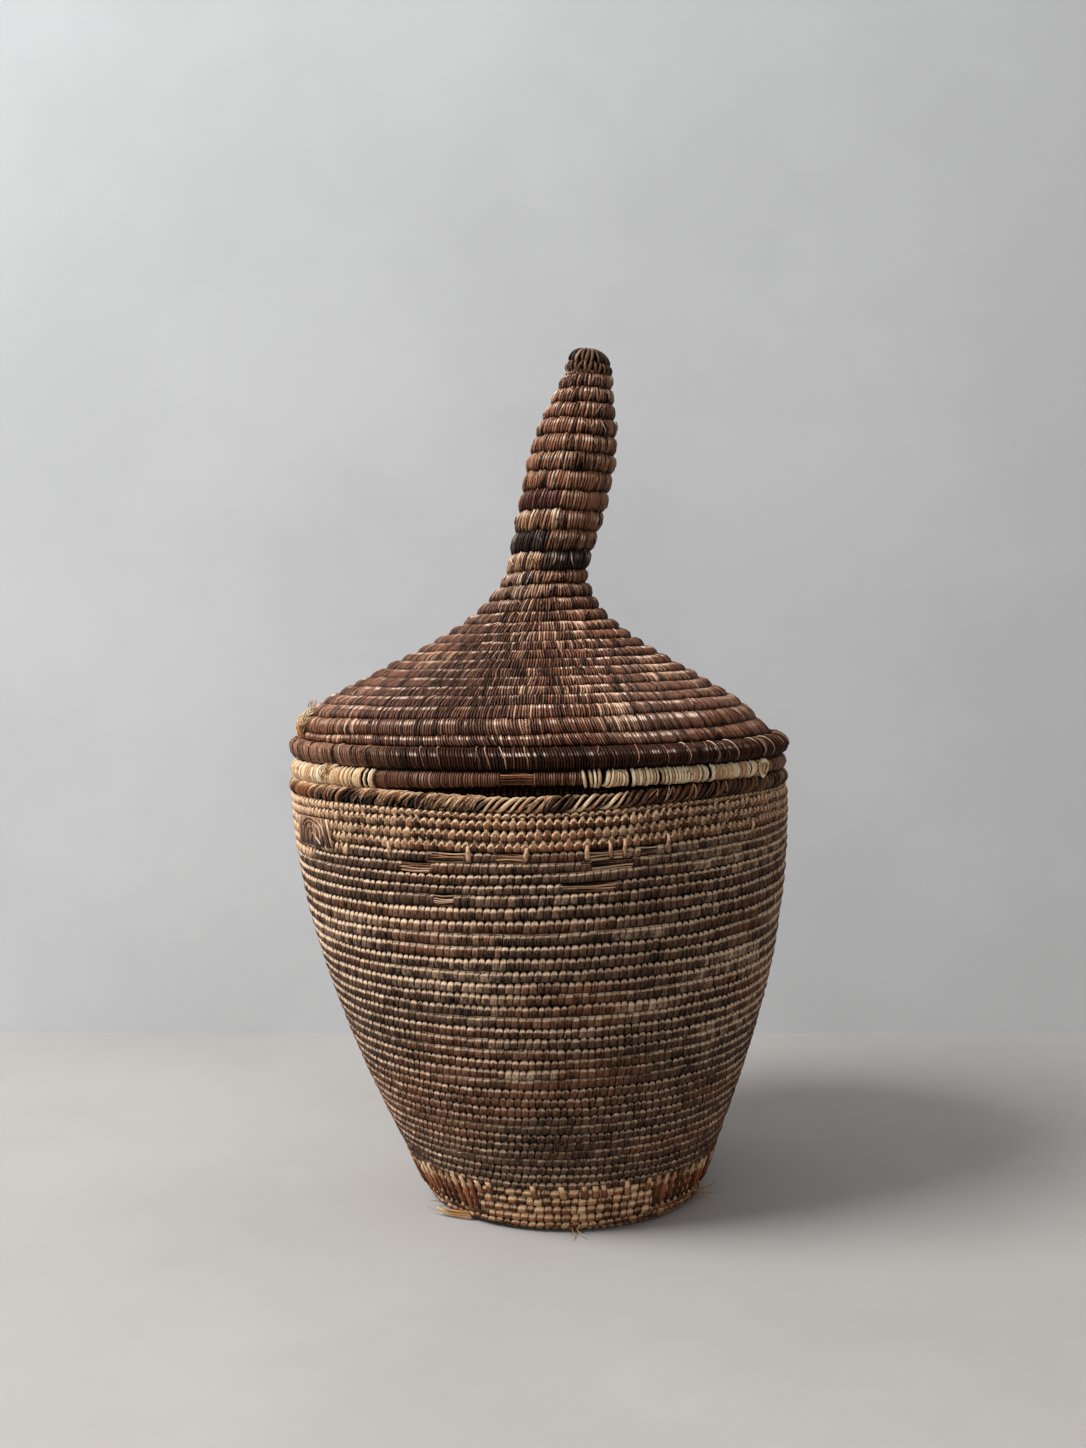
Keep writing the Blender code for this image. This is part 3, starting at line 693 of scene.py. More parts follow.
def lay_strands(piece, finish, paths, width, thickness, facing, sides=6, taper=1.0, **marks):
    """Closed strands along paths (strands, steps + 1, 3), flat to the facing direction."""
    along = np.gradient(paths, axis=1)
    along /= np.linalg.norm(along, axis=-1, keepdims=True)
    across = np.cross(along, np.broadcast_to(facing, paths.shape))
    across /= np.linalg.norm(across, axis=-1, keepdims=True)
    out = np.cross(across, along)
    around = 2 * np.pi * np.arange(sides) / sides

    def each(value):
        return (np.broadcast_to(np.asarray(value, float), (len(paths),))[:, None] * taper)[:, :, None, None]

    ring = across[:, :, None] * np.cos(around)[:, None] * each(width) / 2
    ring = ring + out[:, :, None] * np.sin(around)[:, None] * each(thickness) / 2
    add_tubes(piece, finish, paths[:, :, None] + ring, **marks)


class Socket:
    """An output of a material's nodes, so that shader maths reads as Python."""

    def __init__(self, nodes, output):
        self.nodes = nodes
        self.output = output

    def maths(self, operation, *values):
        return self.nodes.make("Math", {"operation": operation}, dict(enumerate(values)))

    def __add__(self, other):
        return self.maths("ADD", self, other)

    __radd__ = __add__

    def __sub__(self, other):
        return self.maths("SUBTRACT", self, other)

    def __rsub__(self, other):
        return self.maths("SUBTRACT", other, self)

    def __mul__(self, other):
        return self.maths("MULTIPLY", self, other)

    __rmul__ = __mul__

    def __pow__(self, other):
        return self.maths("POWER", self, other)

    def clipped(self):
        return self.nodes.make("Clamp", {}, {"Value": self})

    def between(self, low, high):
        """0 below low, 1 above high, and an even curve between."""
        inputs = {"Value": self, "From Min": low, "From Max": high}
        return self.nodes.make("MapRange", {"interpolation_type": "SMOOTHSTEP"}, inputs)


class Nodes:
    """The nodes of one material or of the world."""

    def __init__(self, owner):
        owner.use_nodes = True
        self.tree = owner.node_tree
        self.tree.nodes.clear()

    def make(self, kind, settings=None, inputs=None, output=0):
        """A node of this kind, its settings first, then the values or links of its sockets."""
        node = self.tree.nodes.new("ShaderNode" + kind)
        for name, value in (settings or {}).items():
            setattr(node, name, value)
        for name, value in (inputs or {}).items():
            if isinstance(value, Socket):
                self.tree.links.new(value.output, node.inputs[name])
            else:
                node.inputs[name].default_value = value
        return Socket(self, node.outputs[output]) if node.outputs else node

    def mark(self, name):
        """The value that a piece's mesh carries under this name."""
        return self.make("Attribute", {"attribute_name": name}, output="Fac")

    def blend(self, share, first, second):
        """A colour between two, by share."""
        return self.make("Mix", {"data_type": "RGBA"}, {0: share, 6: first, 7: second}, 2)

    def noise(self, vector, scale, detail=3.0):
        inputs = {"Vector": vector, "Scale": scale, "Detail": detail, "Roughness": NOISE_ROUGHNESS}
        return self.make("TexNoise", {}, inputs)

    def vector(self, x, y, z):
        return self.make("CombineXYZ", {}, {0: x, 1: y, 2: z})


def tone(red, green, blue):
    """A display colour, each part 0 to 255, as the shader takes it."""
    shares = np.array((red, green, blue)) / 255.0
    linear = np.where(shares <= 0.04045, shares / 12.92, ((shares + 0.055) / 1.055) ** 2.4)
    return (*(float(part) for part in linear), 1.0)


def split_fibre(name, dark, body, other, pale, grain=0.35, spread=0.5, worn_and_lit_top=0.45, rough=0.6, coat=0.0,
                lines=1.0, shadow=0.75, low_shade=0.45, side_shade=0.6, bump=0.7, point=0.0, odd=0.15,
                blotchy=0.9, glint=(0.75, 0.2, 0.0), shine=0.2, tops=(0.5, 0.82), sides=(-1.0, -0.5),
                fade=0.45):
    """Split plant fibre: fine lines along each stitch, painted shade at its lower end and sides, a pale upper
    part that is partly wear and partly painted highlight, and a painted glint line.
    """
    dark, body, other, pale = (tone(*colour) for colour in (dark, body, other, pale))
    material = bpy.data.materials.new(name)
    nodes = Nodes(material)
    stitch, across, along = nodes.mark("stitch"), nodes.mark("across"), nodes.mark("along")
    wear, hue = nodes.mark("wear"), nodes.mark("hue")
    place = nodes.make("TexCoord", {}, {}, "Object")
    place_right = nodes.make("SeparateXYZ", {}, {"Vector": place}, "X")
    own_place = nodes.vector(across * lines + stitch * 37.0, along * 0.7 + stitch * 11.0, stitch * 5.0)
    streaks = nodes.noise(own_place, 2.2)
    blotch = nodes.noise(place, 55.0)
    speck = nodes.noise(place, 900.0, 2.0)
    bright = 0.5 + (stitch - 0.5) * spread + (streaks - 0.5) * grain * 4.0 + (blotch - 0.5) * blotchy
    # fade darkens each stitch toward its lower end: partly the fibre's darker tone, partly painted shade on
    # the half turned away from the light above
    bright = bright + (along - 0.5) * fade + (speck - 0.5) * 0.6
    base = nodes.blend(hue.between(0.35, 0.65), body, other)
    colour = nodes.blend(bright.between(-0.1, 0.8), dark, base)
    # Pale tops: partly real wear, partly painted highlight where light from above falls on each stitch's
    # upper part
    top = along.between(*tops) * (1.0 - along.between(0.95, 1.0) * 0.5)
    wear_and_highlight = (top * worn_and_lit_top + wear * 0.6) * (0.1 + streaks * 1.6) + (stitch - 0.5) * odd + (speck - 0.5) * 0.4
    colour = nodes.blend(wear_and_highlight.between(0.15, 0.8), colour, pale)
    rim = (across * across) * along.between(0.4, 0.55) * point
    colour = nodes.blend(rim.between(0.15, 0.6) * (0.5 + streaks), colour, pale)
    # Painted shade: darker at each stitch's sides, between neighbours, and at its lower end, in the groove
    # between rows
    edges = (across * across).between(0.62, 1.0) * side_shade * (1.0 - along.between(0.4, 0.5) * point)
    edges = edges * along.between(*sides)
    edges = edges + (1.0 - along.between(0.0, low_shade)) * shadow
    colour = nodes.blend(edges.clipped(), colour, dark)
    # Painted highlight: a pale glint line across each stitch at a set share of its length, in patches, fading
    # out toward +X, away from the key lamp
    crest, spread_out, strength = glint
    lit = along.between(crest - spread_out, crest) * (1.0 - along.between(crest, crest + spread_out))
    lit = lit * (1.0 - across * across) * nodes.noise(place, 42.0).between(0.40, 0.64)
    lit = lit * (stitch.between(0.3, 0.9) + (streaks - 0.5) * 2.0) * (1.0 - place_right.between(0.03, 0.09))
    colour = nodes.blend((lit * strength).clipped(), colour, tone(*GLINT_TONE))
    roughness = (rough + (streaks - 0.5) * 0.35 - (speck - 0.5) * 0.15).clipped()
    height = streaks * 0.7 + speck * 0.3
    relief = nodes.make("Bump", {}, {"Strength": bump, "Distance": 0.0006, "Height": height})
    shader = nodes.make("BsdfPrincipled", {}, {"Base Color": colour, "Roughness": roughness, "Normal": relief,
                                               "Specular IOR Level": shine, "Coat Weight": coat,
                                               "Coat Roughness": 0.25})
    nodes.make("OutputMaterial", {}, {"Surface": shader})
    return material


def grass_core(name, dark, light):
    """The bundle of grass inside a coil: stalks along the coil, coloured near black as painted shade."""
    material = bpy.data.materials.new(name)
    nodes = Nodes(material)
    place = nodes.make("TexCoord", {}, {}, "Object")
    across, hue = nodes.mark("across"), nodes.mark("hue")
    stalks = nodes.noise(nodes.vector(across * 9.0, nodes.mark("along") * 40.0, hue), 1.5)
    blotch = nodes.noise(place, 120.0)
    share = (stalks - 0.5) * 1.6 + (blotch - 0.5) * 0.8 + hue * 0.4
    colour = nodes.blend(share.between(0.0, 0.7), dark, light)
    relief = nodes.make("Bump", {}, {"Strength": 0.6, "Distance": 0.0005, "Height": stalks})
    shader = nodes.make("BsdfPrincipled", {}, {"Base Color": colour, "Roughness": 0.8, "Normal": relief,
                                               "Specular IOR Level": 0.1})
    nodes.make("OutputMaterial", {}, {"Surface": shader})
    return material


body_line, body_starts, BODY_MARKS = body_rows()
lid_line, lid_starts, CONE_ROWS = lid_rows()
DISC, FOOT, BASE_BAND, WALL, BAND, RIM, TOP = BODY_MARKS
LID_TOP = len(lid_starts) - 1

# Rows of a coil with the lift of their grooves and crests and how square their section is
BODY_RELIEF = (
    (0, 0.0013, 0.0025, 2.4),
    (FOOT, 0.0010, 0.0025, 2.2),
    (WALL, 0.0006, 0.0025, 2.7),
    (WALL + 10, 0.0004, 0.0025, 2.8),
    (BAND, 0.0004, 0.0025, 2.7),
    (TOP, 0.0006, 0.0025, 2.3),
)
BODY_INNER_RELIEF = ((0, 0.0013, 0.0024, 2.4), (TOP, 0.0012, 0.0024, 2.4))
LID_RELIEF = (
    (0, 0.0024, 0.0036, 2.2),
    (7, 0.0022, 0.0036, 2.1),
    (12, 0.0016, 0.0036, 2.2),
    (16, 0.0016, 0.0037, 2.8),
    (LID_TOP, 0.0018, 0.0037, 2.8),
)
LID_INNER_RELIEF = ((0, 0.0014, 0.0030, 2.2), (LID_TOP, 0.0014, 0.0030, 2.2))

BODY = Coil(body_line, body_starts, body_place, BODY_COIL_START, BODY_RELIEF, BODY_INNER_RELIEF)
LID = Coil(lid_line, lid_starts, lid_place, LID_COIL_START, LID_RELIEF, LID_INNER_RELIEF)

# Fibres: their name, the colours of their dark parts and painted shade, body, second hue and pale worn tops,
# which are partly painted highlight, and their own looks; glint sets a painted highlight line
FIBRES = {
    "wall": ("wall_stitches", (10, 6, 4), (100, 74, 58), (120, 80, 58), (240, 206, 174), dict(
        grain=0.9, low_shade=0.3, shadow=0.95, lines=2.5, worn_and_lit_top=0.75, shine=0.1, tops=(0.66, 0.9),
        sides=(0.2, 0.6), fade=0.8, odd=0.2)),
    "band": ("band_stitches", (40, 23, 15), (130, 88, 62), (148, 96, 66), (244, 204, 164), dict(
        worn_and_lit_top=0.95, point=1.0, shadow=0.9, low_shade=0.35, shine=0.1, fade=0.7, lines=2.5, tops=(0.6, 0.9),
        grain=0.6, odd=0.25)),
    "base": ("base_stitches", (50, 26, 13), (152, 98, 63), (164, 96, 57), (244, 204, 160), dict(
        worn_and_lit_top=0.6, low_shade=0.25, side_shade=0.7, spread=0.9, odd=0.5, lines=2.0, fade=0.6)),
    "braid": ("braid_strips", (26, 15, 10), (158, 118, 88), (168, 116, 78), (242, 208, 168), dict(
        spread=1.1, worn_and_lit_top=0.6, low_shade=0.02, odd=0.6, side_shade=0.8)),
    "lid": ("lid_wraps", (34, 19, 13), (134, 92, 72), (140, 91, 67), (236, 192, 156), dict(
        rough=0.4, spread=0.8, odd=0.3, worn_and_lit_top=0.2, tops=(0.4, 0.65), low_shade=0.2, shadow=0.6,
        side_shade=0.85, bump=0.5, blotchy=0.4, glint=(0.66, 0.18, 2.0), grain=0.7)),
    "knob": ("knob_wraps", (24, 13, 9), (160, 118, 94), (166, 114, 84), (232, 198, 168), dict(
        rough=0.35, spread=0.8, worn_and_lit_top=0.2, low_shade=0.3, shadow=0.85, bump=0.4, coat=0.05, blotchy=0.6,
        glint=(0.68, 0.2, 1.3))),
    "tip": ("tip_strands", (24, 14, 9), (94, 69, 54), (106, 74, 54), (204, 168, 136), dict(
        rough=0.4, spread=1.0, worn_and_lit_top=0.1, low_shade=0.02, side_shade=0.9, bump=0.5, shine=0.15)),
    "brim": ("brim_wraps", (14, 7, 4), (70, 40, 27), (160, 115, 90), (200, 160, 130), dict(
        rough=0.34, spread=0.7, worn_and_lit_top=0.02, low_shade=0.02, bump=0.3, odd=0.0, shine=0.12,
        glint=(0.57, 0.04, 1.3))),
    "edge": ("edge_wraps", (40, 22, 15), (128, 88, 66), (136, 88, 62), (176, 136, 108), dict(
        rough=0.34, spread=0.6, worn_and_lit_top=0.05, low_shade=0.02, bump=0.3, glint=(0.56, 0.1, 0.4))),
    "cream": ("cream_wraps", (196, 150, 104), (250, 228, 190), (244, 210, 164), (255, 248, 228), dict(
        spread=0.9, worn_and_lit_top=0.4, side_shade=0.3, low_shade=0.02)),
    "black": ("black_wraps", (16, 11, 10), (62, 50, 45), (72, 58, 50), (160, 138, 122), dict(
        rough=0.3, spread=0.8, worn_and_lit_top=0.15, low_shade=0.3, bump=0.4, glint=(0.7, 0.2, 0.8), odd=0.4,
        shine=0.12)),
    "tan": ("tan_wraps", (60, 34, 21), (184, 144, 114), (188, 140, 106), (244, 214, 182), dict(
        rough=0.36, spread=1.1, worn_and_lit_top=0.5, low_shade=0.3, bump=0.4, odd=0.6)),
    "purple": ("purple_wraps", (36, 16, 14), (104, 66, 60), (112, 70, 58), (196, 152, 138), dict(
        rough=0.28, spread=0.6, worn_and_lit_top=0.15, low_shade=0.3, glint=(0.7, 0.18, 1.2))),
    "straw": ("loose_straw", (150, 104, 62), (232, 198, 150), (214, 164, 108), (252, 238, 204), dict(
        spread=0.9, worn_and_lit_top=0.4, lines=0.5, low_shade=0.02, odd=0.4)),
    "stalk": ("bare_stalks", (34, 20, 13), (144, 104, 76), (158, 104, 68), (226, 190, 154), dict(
        spread=1.4, worn_and_lit_top=0.1, lines=0.5, low_shade=0.02, odd=1.2)),
    "golden": ("golden_stalks", (62, 30, 16), (170, 108, 72), (196, 126, 80), (236, 180, 128), dict(
        spread=1.2, worn_and_lit_top=0.1, lines=0.5, low_shade=0.02, odd=0.7)),
}
FINISHES = {fibre: split_fibre(*colours, **looks) for fibre, (*colours, looks) in FIBRES.items()}
# The grass core's near-black tones are painted shade for the gaps, seams and hollows where it shows
FINISHES["core"] = grass_core("grass_core", tone(6, 4, 3), tone(28, 18, 13))


def dress_inside(piece, finish, coil, begin, end, spacing, seed):
    """Plain stitches on the inside of a coil."""
    turns, widths = stitch_spots(coil, begin, end, spacing, 0.3, seed)
    places = coil.surface(turns, 0.5, np.zeros_like(turns))
    lay(piece, finish, coil, turns, widths * 0.96, camber=0.0003, sink=0.0003, side=-1, grid=(2, 3),
        wear=0.25 * drift(places, 0.03, 5), hue=drift(places, 0.05, 6), seed=seed, rounding=0.0)


# Where the wrapping is gone: the row, and degrees from the front (the right is positive)
BARE_PATCHES = (
    (47, -31.5, -24.0), (47, 9.5, 19.5), (48, -23.5, -15.5), (48, -9.0, -3.5), (48, 9.5, 17.5),
    (48, 21.0, 25.5), (44, -23.5, -19.0), (45, 4.5, 15.5), (46, 150.0, 158.0), (40, 205.0, 212.0),
)
GOLDEN_WORN = ((29, -13.0, 1.0), (36, 100.0, 118.0), (24, 190.0, 210.0))
# Turns of the body's coil that are sewn with light fibre
LIGHT_SPANS = ((47.0, 47.12), (47.85, 48.165), (48.62, 60.0))
# The row of the band's long stitches, and their degrees from the front
LONG_STITCH_ROW = 48
LONG_STITCHES = (-33.5, -15.0, -3.0, 9.5, 14.5, 17.5, 27.5, 53.0, 96.0, 131.0, 170.0, 214.0, 250.0)
# The row of the base band's tall stitches, and their degrees from the front
TALL_STITCH_ROW = 15
TALL_STITCHES = (
    -26.5, -10.0, 0.0, 7.5, 11.5, 14.5, 23.0, 31.5, 36.0, 39.5, 43.0, 46.5, 50.0, 53.5, 57.0, 60.5, 64.0,
    68.0, 72.0, 76.0, 80.0, 85.0, -31.0, -34.5, -38.0, -41.5, -45.0, -48.5, -52.0, -55.5, -59.0, -63.0,
    -67.0, -71.0, -75.0, -80.0, 91.0, 98.0, 109.0, 120.0, 131.0, 141.0, 154.0, 166.0, 177.0, 188.0, 197.0,
    205.0, 217.0, 229.0, 240.0, 252.0, 261.0,
)
# The share of the foot coil's row that its stitches leave bare, so that the near-black core shows there as a
# painted contact shadow at the floor
FOOT_COIL_LOW = 0.62
# Loose fibres at the foot: degrees from the front, and the reach outward, sideways and up of each end
FOOT_FIBRES = (
    (3.0, 0.0100, -0.0020, -0.0012), (4.5, 0.0090, 0.0030, -0.0014), (5.0, 0.0050, 0.0006, 0.0030),
    (66.0, 0.0080, 0.0030, 0.0030), (69.0, 0.0110, 0.0010, 0.0010), (71.0, 0.0070, 0.0060, 0.0060),
    (73.0, 0.0120, -0.0010, 0.0020), (75.0, 0.0090, 0.0040, -0.0005), (78.0, 0.0100, 0.0020, 0.0045),
    (-62.0, 0.0050, -0.0020, 0.0010),
)
# Strands of the loose strip: height over the coil's crest, length, how far it splays, and its sway
LOOSE_STRANDS = (
    (0.0008, 0.0150, 0.38, 0.0),
    (0.0020, 0.0155, 0.36, 0.4),
    (0.0027, 0.0130, 0.44, 1.1),
    (0.0014, 0.0190, 0.46, 2.0),
)
# Where a ring's wraps begin and end round its section, and how blunt their ends are
RING_LOOKS = dict(low=0.01, high=0.99, blunt=20.0)


def front_turn(coil, row, degrees):
    """The coil's turn in this row at so many degrees to the right of the front."""
    return row + (FRONT - coil.start_angle) / (2 * math.pi) % 1.0 + np.asarray(degrees) / 360.0


def in_spans(turns, spans):
    """Which turns lie in one of these spans of turns."""
    found = np.zeros(len(turns), bool)
    for first, last in spans:
        found |= (turns > first) & (turns < last)
    return found


def in_stretches(turns, stretches):
    """Which of the body's turns lie in one of these stretches, each a row and two angles from the front."""
    return in_spans(turns, [front_turn(BODY, row, (first, last)) for row, first, last in stretches])


def bare_stalks(piece, begin, end, seed):
    """The stalks of the bundle where no wrapping covers them."""
    for own_seed, (row, first, last) in enumerate(BARE_PATCHES, seed):
        start, stop = front_turn(BODY, row, (first, last))
        if start < begin or stop > end:
            continue
        random = fixed_random(own_seed)
        turn = np.linspace(start - 0.003, stop + 0.003, 14)
        paths = []
        for share in np.linspace(0.12, 0.88, 7):
            shares = share + 0.05 * np.sin(np.linspace(0.0, 6.0, 14) + 9.0 * random.random())
            lift = BODY.profile(turn, shares, 1) - 0.0002 - 0.0005 * random.random()
            paths.append(BODY.surface(turn, shares, lift))
        count = len(paths)
        facing = BODY.surface(turn, 0.5, 0.01 + 0.0 * turn) - BODY.surface(turn, 0.5, 0.0 * turn)
        lay_strands(piece, "stalk", np.array(paths), 0.0004 + 0.0004 * random.random(count), 0.0007,
                    facing[None], 5, wear=1.2 * random.random(count) ** 2, hue=random.random(count),
                    seed=own_seed)


def wall_beads(piece, finish, turns, widths, seed, drop=0.0, low=0.0):
    """Beads of the wall: one broad stitch after another, in places worn smooth as a rope."""
    random = fixed_random(seed)
    count = len(turns)
    if not count:
        return
    places = BODY.surface(turns, 0.5, np.zeros(count))
    stretch = np.stack([np.floor(turns + 0.3) * 3.1, turns * 9.0, 0.0 * turns], -1)
    smooth = smooth_step(drift(stretch, 1.0, seed), 0.66, 0.8)
    wear = drift(places, (0.03, 0.03, 0.008), 11) * 0.8 - 0.1
    wear = wear + 0.7 * in_stretches(turns, GOLDEN_WORN)
    # Lower on the wall, above the base band, the pale tops fade out
    wear = wear - 0.5 * (1.0 - smooth_step(places[:, 2], 0.03, 0.13)) * (turns > WALL)
    lay(piece, finish, BODY, turns, widths * (1.02 + 0.04 * smooth),
        low=low - 0.04 + 0.05 * random.random(count), high=1.02 + 0.08 * random.random(count),
        lean=0.0006 + (random.random(count) - 0.5) * 0.0009, merge=0.8,
        camber=0.00030 * (1.0 - 0.7 * smooth), sink=0.00030 * (1.0 - 0.7 * smooth),
        rise=0.0003 * (random.random(count) - 0.5) - drop, rounding=0.22 * (1.0 - 0.8 * smooth), scallop=0.0,
        square=0.8, wear=wear, hue=drift(places, (0.05, 0.05, 0.010), 12), seed=seed)


def dress_body():
    """Core, outer stitches and inner stitches of every stretch of the basket's coil."""
    third = (BAND - WALL) / 3
    lower = WALL + round(third)
    upper = WALL + round(2 * third)
    stretches = (
        ("foot_coil", FOOT, BASE_BAND, "base", FOOT_STITCH),
        ("base_band_coils", BASE_BAND, WALL, "base", FOOT_STITCH),
        ("wall_coils_lower", WALL, lower, "wall", WALL_STITCH),
        ("wall_coils_middle", lower, upper, "wall", WALL_STITCH),
        ("wall_coils_upper", upper, BAND, "wall", WALL_STITCH),
    )
    for seed, (node, begin, end, finish, spacing) in enumerate(stretches, 20):
        piece = Piece()
        lay_core(piece, BODY, begin, end)
        turns, widths = stitch_spots(BODY, begin, end, spacing, 0.32, seed, whole_turns=finish == "base")
        covered = ~in_stretches(turns, BARE_PATCHES)
        # The foot coil's stitches start high, leaving the near-black core bare as painted contact shadow
        low = FOOT_COIL_LOW if node == "foot_coil" else 0.0
        wall_beads(piece, finish, turns[covered], widths[covered], seed, low=low)
        dress_inside(piece, "wall", BODY, begin, end, INNER_STITCH, seed + 40)
        bare_stalks(piece, begin, end, seed + 7)
        if node == "base_band_coils":
            tall_base_stitches(piece)
        if node == "foot_coil":
            foot_fibres(piece)
        piece.finish(node, "stitched", "basket", finish + "_fibre")


def foot_fibres(piece):
    """Thin fibres that have come loose from the foot coil."""
    degrees, outward, sideways, up = np.array(FOOT_FIBRES).T[:, :, None]
    steps = np.linspace(0.0, 1.0, 10)[None, :]
    angle = FRONT + np.radians(degrees) + sideways * steps ** 2 / FOOT_RADIUS
    reach = FOOT_RADIUS - 0.0010 + outward * steps + 0.0004 * np.sin(7.0 * steps + degrees)
    height = 0.0020 + up * steps ** 1.5 + 0.0004 * np.sin(5.0 * steps + degrees) * steps
    taper = np.interp(steps[0], (0.0, 0.7, 1.0), (1.0, 0.8, 0.3))
    lay_strands(piece, "straw", body_place(angle, reach, height), 0.0007, 0.0004, UP, 5, taper, wear=0.3,
                hue=0.8, seed=35)


def tall_base_stitches(piece):
    """Broad upright strips that reach from the base band over the wall's first dark row."""
    random = fixed_random(31)
    degrees = np.array(TALL_STITCHES)
    count = len(degrees)
    side = np.where(np.cos(np.radians(degrees)) > 0.85, 0.0, 1.0)
    turns = front_turn(BODY, TALL_STITCH_ROW, degrees)
    lay(piece, "base", BODY, turns, 0.0026 + 0.0008 * random.random(count), low=-0.1 - 2.2 * side,
        high=1.5 + 0.4 * random.random(count), lean=(random.random(count) - 0.7) * 0.0020,
        camber=0.0005, sink=0.0002, rise=0.0005, bridge=0.0022, rounding=0.0, tip=0.25, foot=0.3 * side,
        grid=(4, 16), seed=32, wear=0.3 * random.random(count) - 0.2 * side, hue=0.3 + 0.5 * side)


def dress_disc():
    """The flat base and the small knot in its middle."""
    piece = Piece()
    begin = DISC - 1 + TAPERED_END
    lay_core(piece, BODY, begin, FOOT, CORE_INSET, DISC_CORE_STEPS)
    turns, widths = stitch_spots(BODY, begin, FOOT, DISC_STITCH, 0.3, 61)
    lay(piece, "base", BODY, turns, widths * 0.94, grid=(2, 4), seed=61)
    dress_inside(piece, "base", BODY, begin, FOOT, DISC_INNER_STITCH, 62)
    piece.finish("base_disc_coils", "stitched", "basket", "base_fibre")
    knot = Piece()
    steps = np.linspace(0.0, 1.0, 9)[None, :]
    reach = KNOT_RADIUS * (0.12 + 0.80 * np.sin(np.pi * steps))
    height = COIL_THICKNESS * (0.5 + 0.42 * np.cos(np.pi * steps))
    angle = 2 * np.pi * np.arange(KNOT_STRANDS)[:, None] / KNOT_STRANDS + 0.5 * steps
    paths = np.stack([reach * np.cos(angle), reach * np.sin(angle), np.broadcast_to(height, angle.shape)], -1)
    facing = np.stack([np.cos(angle), np.sin(angle), 0.0 * angle], -1) + (0.0, 0.0, 0.01)
    lay_strands(knot, "base", paths, 0.0033, 0.0012, facing, seed=64)
    knot.finish("base_start_knot", "wound", "basket", "base_fibre")


def pointed_stitches(piece, turns, widths, seed):
    """Stitches of the light band, whose pale pointed tips bite into the row above."""
    random = fixed_random(seed)
    count = len(turns)
    places = BODY.surface(turns, 0.5, np.zeros(count))
    reach = np.where(turns < TOP - 1.4, 1.08 + 0.22 * random.random(count), 1.0)
    lay(piece, "band", BODY, turns, widths * 1.06, high=reach, sink=0.00015, tip=0.7, rounding=0.0,
        lean=0.0006 + (random.random(count) - 0.5) * 0.0012, rise=0.0002 * random.random(count),
        grid=(4, 10), square=0.5,
        # The wear mark rises toward the left (-X): painted light from the key lamp on that side, over a drift
        # of real wear
        wear=0.1 + 0.4 * drift(places, 0.02, 9) + 0.5 * smooth_step(-places[:, 0], 0.03, 0.10),
        hue=drift(places, 0.04, 10), seed=seed)


def long_stitches(piece):
    """Pale upright stitches that reach over a whole row of the band and into the next."""
    random = fixed_random(76)
    count = len(LONG_STITCHES)
    turns = front_turn(BODY, LONG_STITCH_ROW, LONG_STITCHES)
    lay(piece, "band", BODY, turns, 0.0016 + 0.0006 * random.random(count), low=-0.05,
        high=1.6 + 0.3 * random.random(count), lean=(random.random(count) - 0.5) * 0.0016, sink=0.0002,
        rise=0.0005, bridge=0.0022, tip=0.3, rounding=0.0, grid=(4, 12), seed=77, wear=0.6)


def dress_band():
    """The upper band and the rim rows: pale pointed stitches, over rows sewn as the wall is."""
    for node, begin, end, seed in (("band_coils", BAND, RIM, 70), ("rim_coils", RIM, TOP - TAPERED_END, 80)):
        piece = Piece()
        lay_core(piece, BODY, begin, end, BAND_CORE_INSET)
        turns, widths = stitch_spots(BODY, begin, end, BAND_STITCH, 0.3, seed)
        light = in_spans(turns, LIGHT_SPANS)
        covered = ~in_stretches(turns, BARE_PATCHES)
        drop = 0.0007 * light[covered]
        wall_beads(piece, "wall", turns[covered], widths[covered], seed, drop)
        pointed_stitches(piece, turns[covered & light], widths[covered & light], seed + 1)
        bare_stalks(piece, begin, end, seed + 7)
        dress_inside(piece, "band", BODY, begin, end, INNER_STITCH, seed + 5)
        if node == "band_coils":
            long_stitches(piece)
        piece.finish(node, "stitched", "basket", "band_fibre")


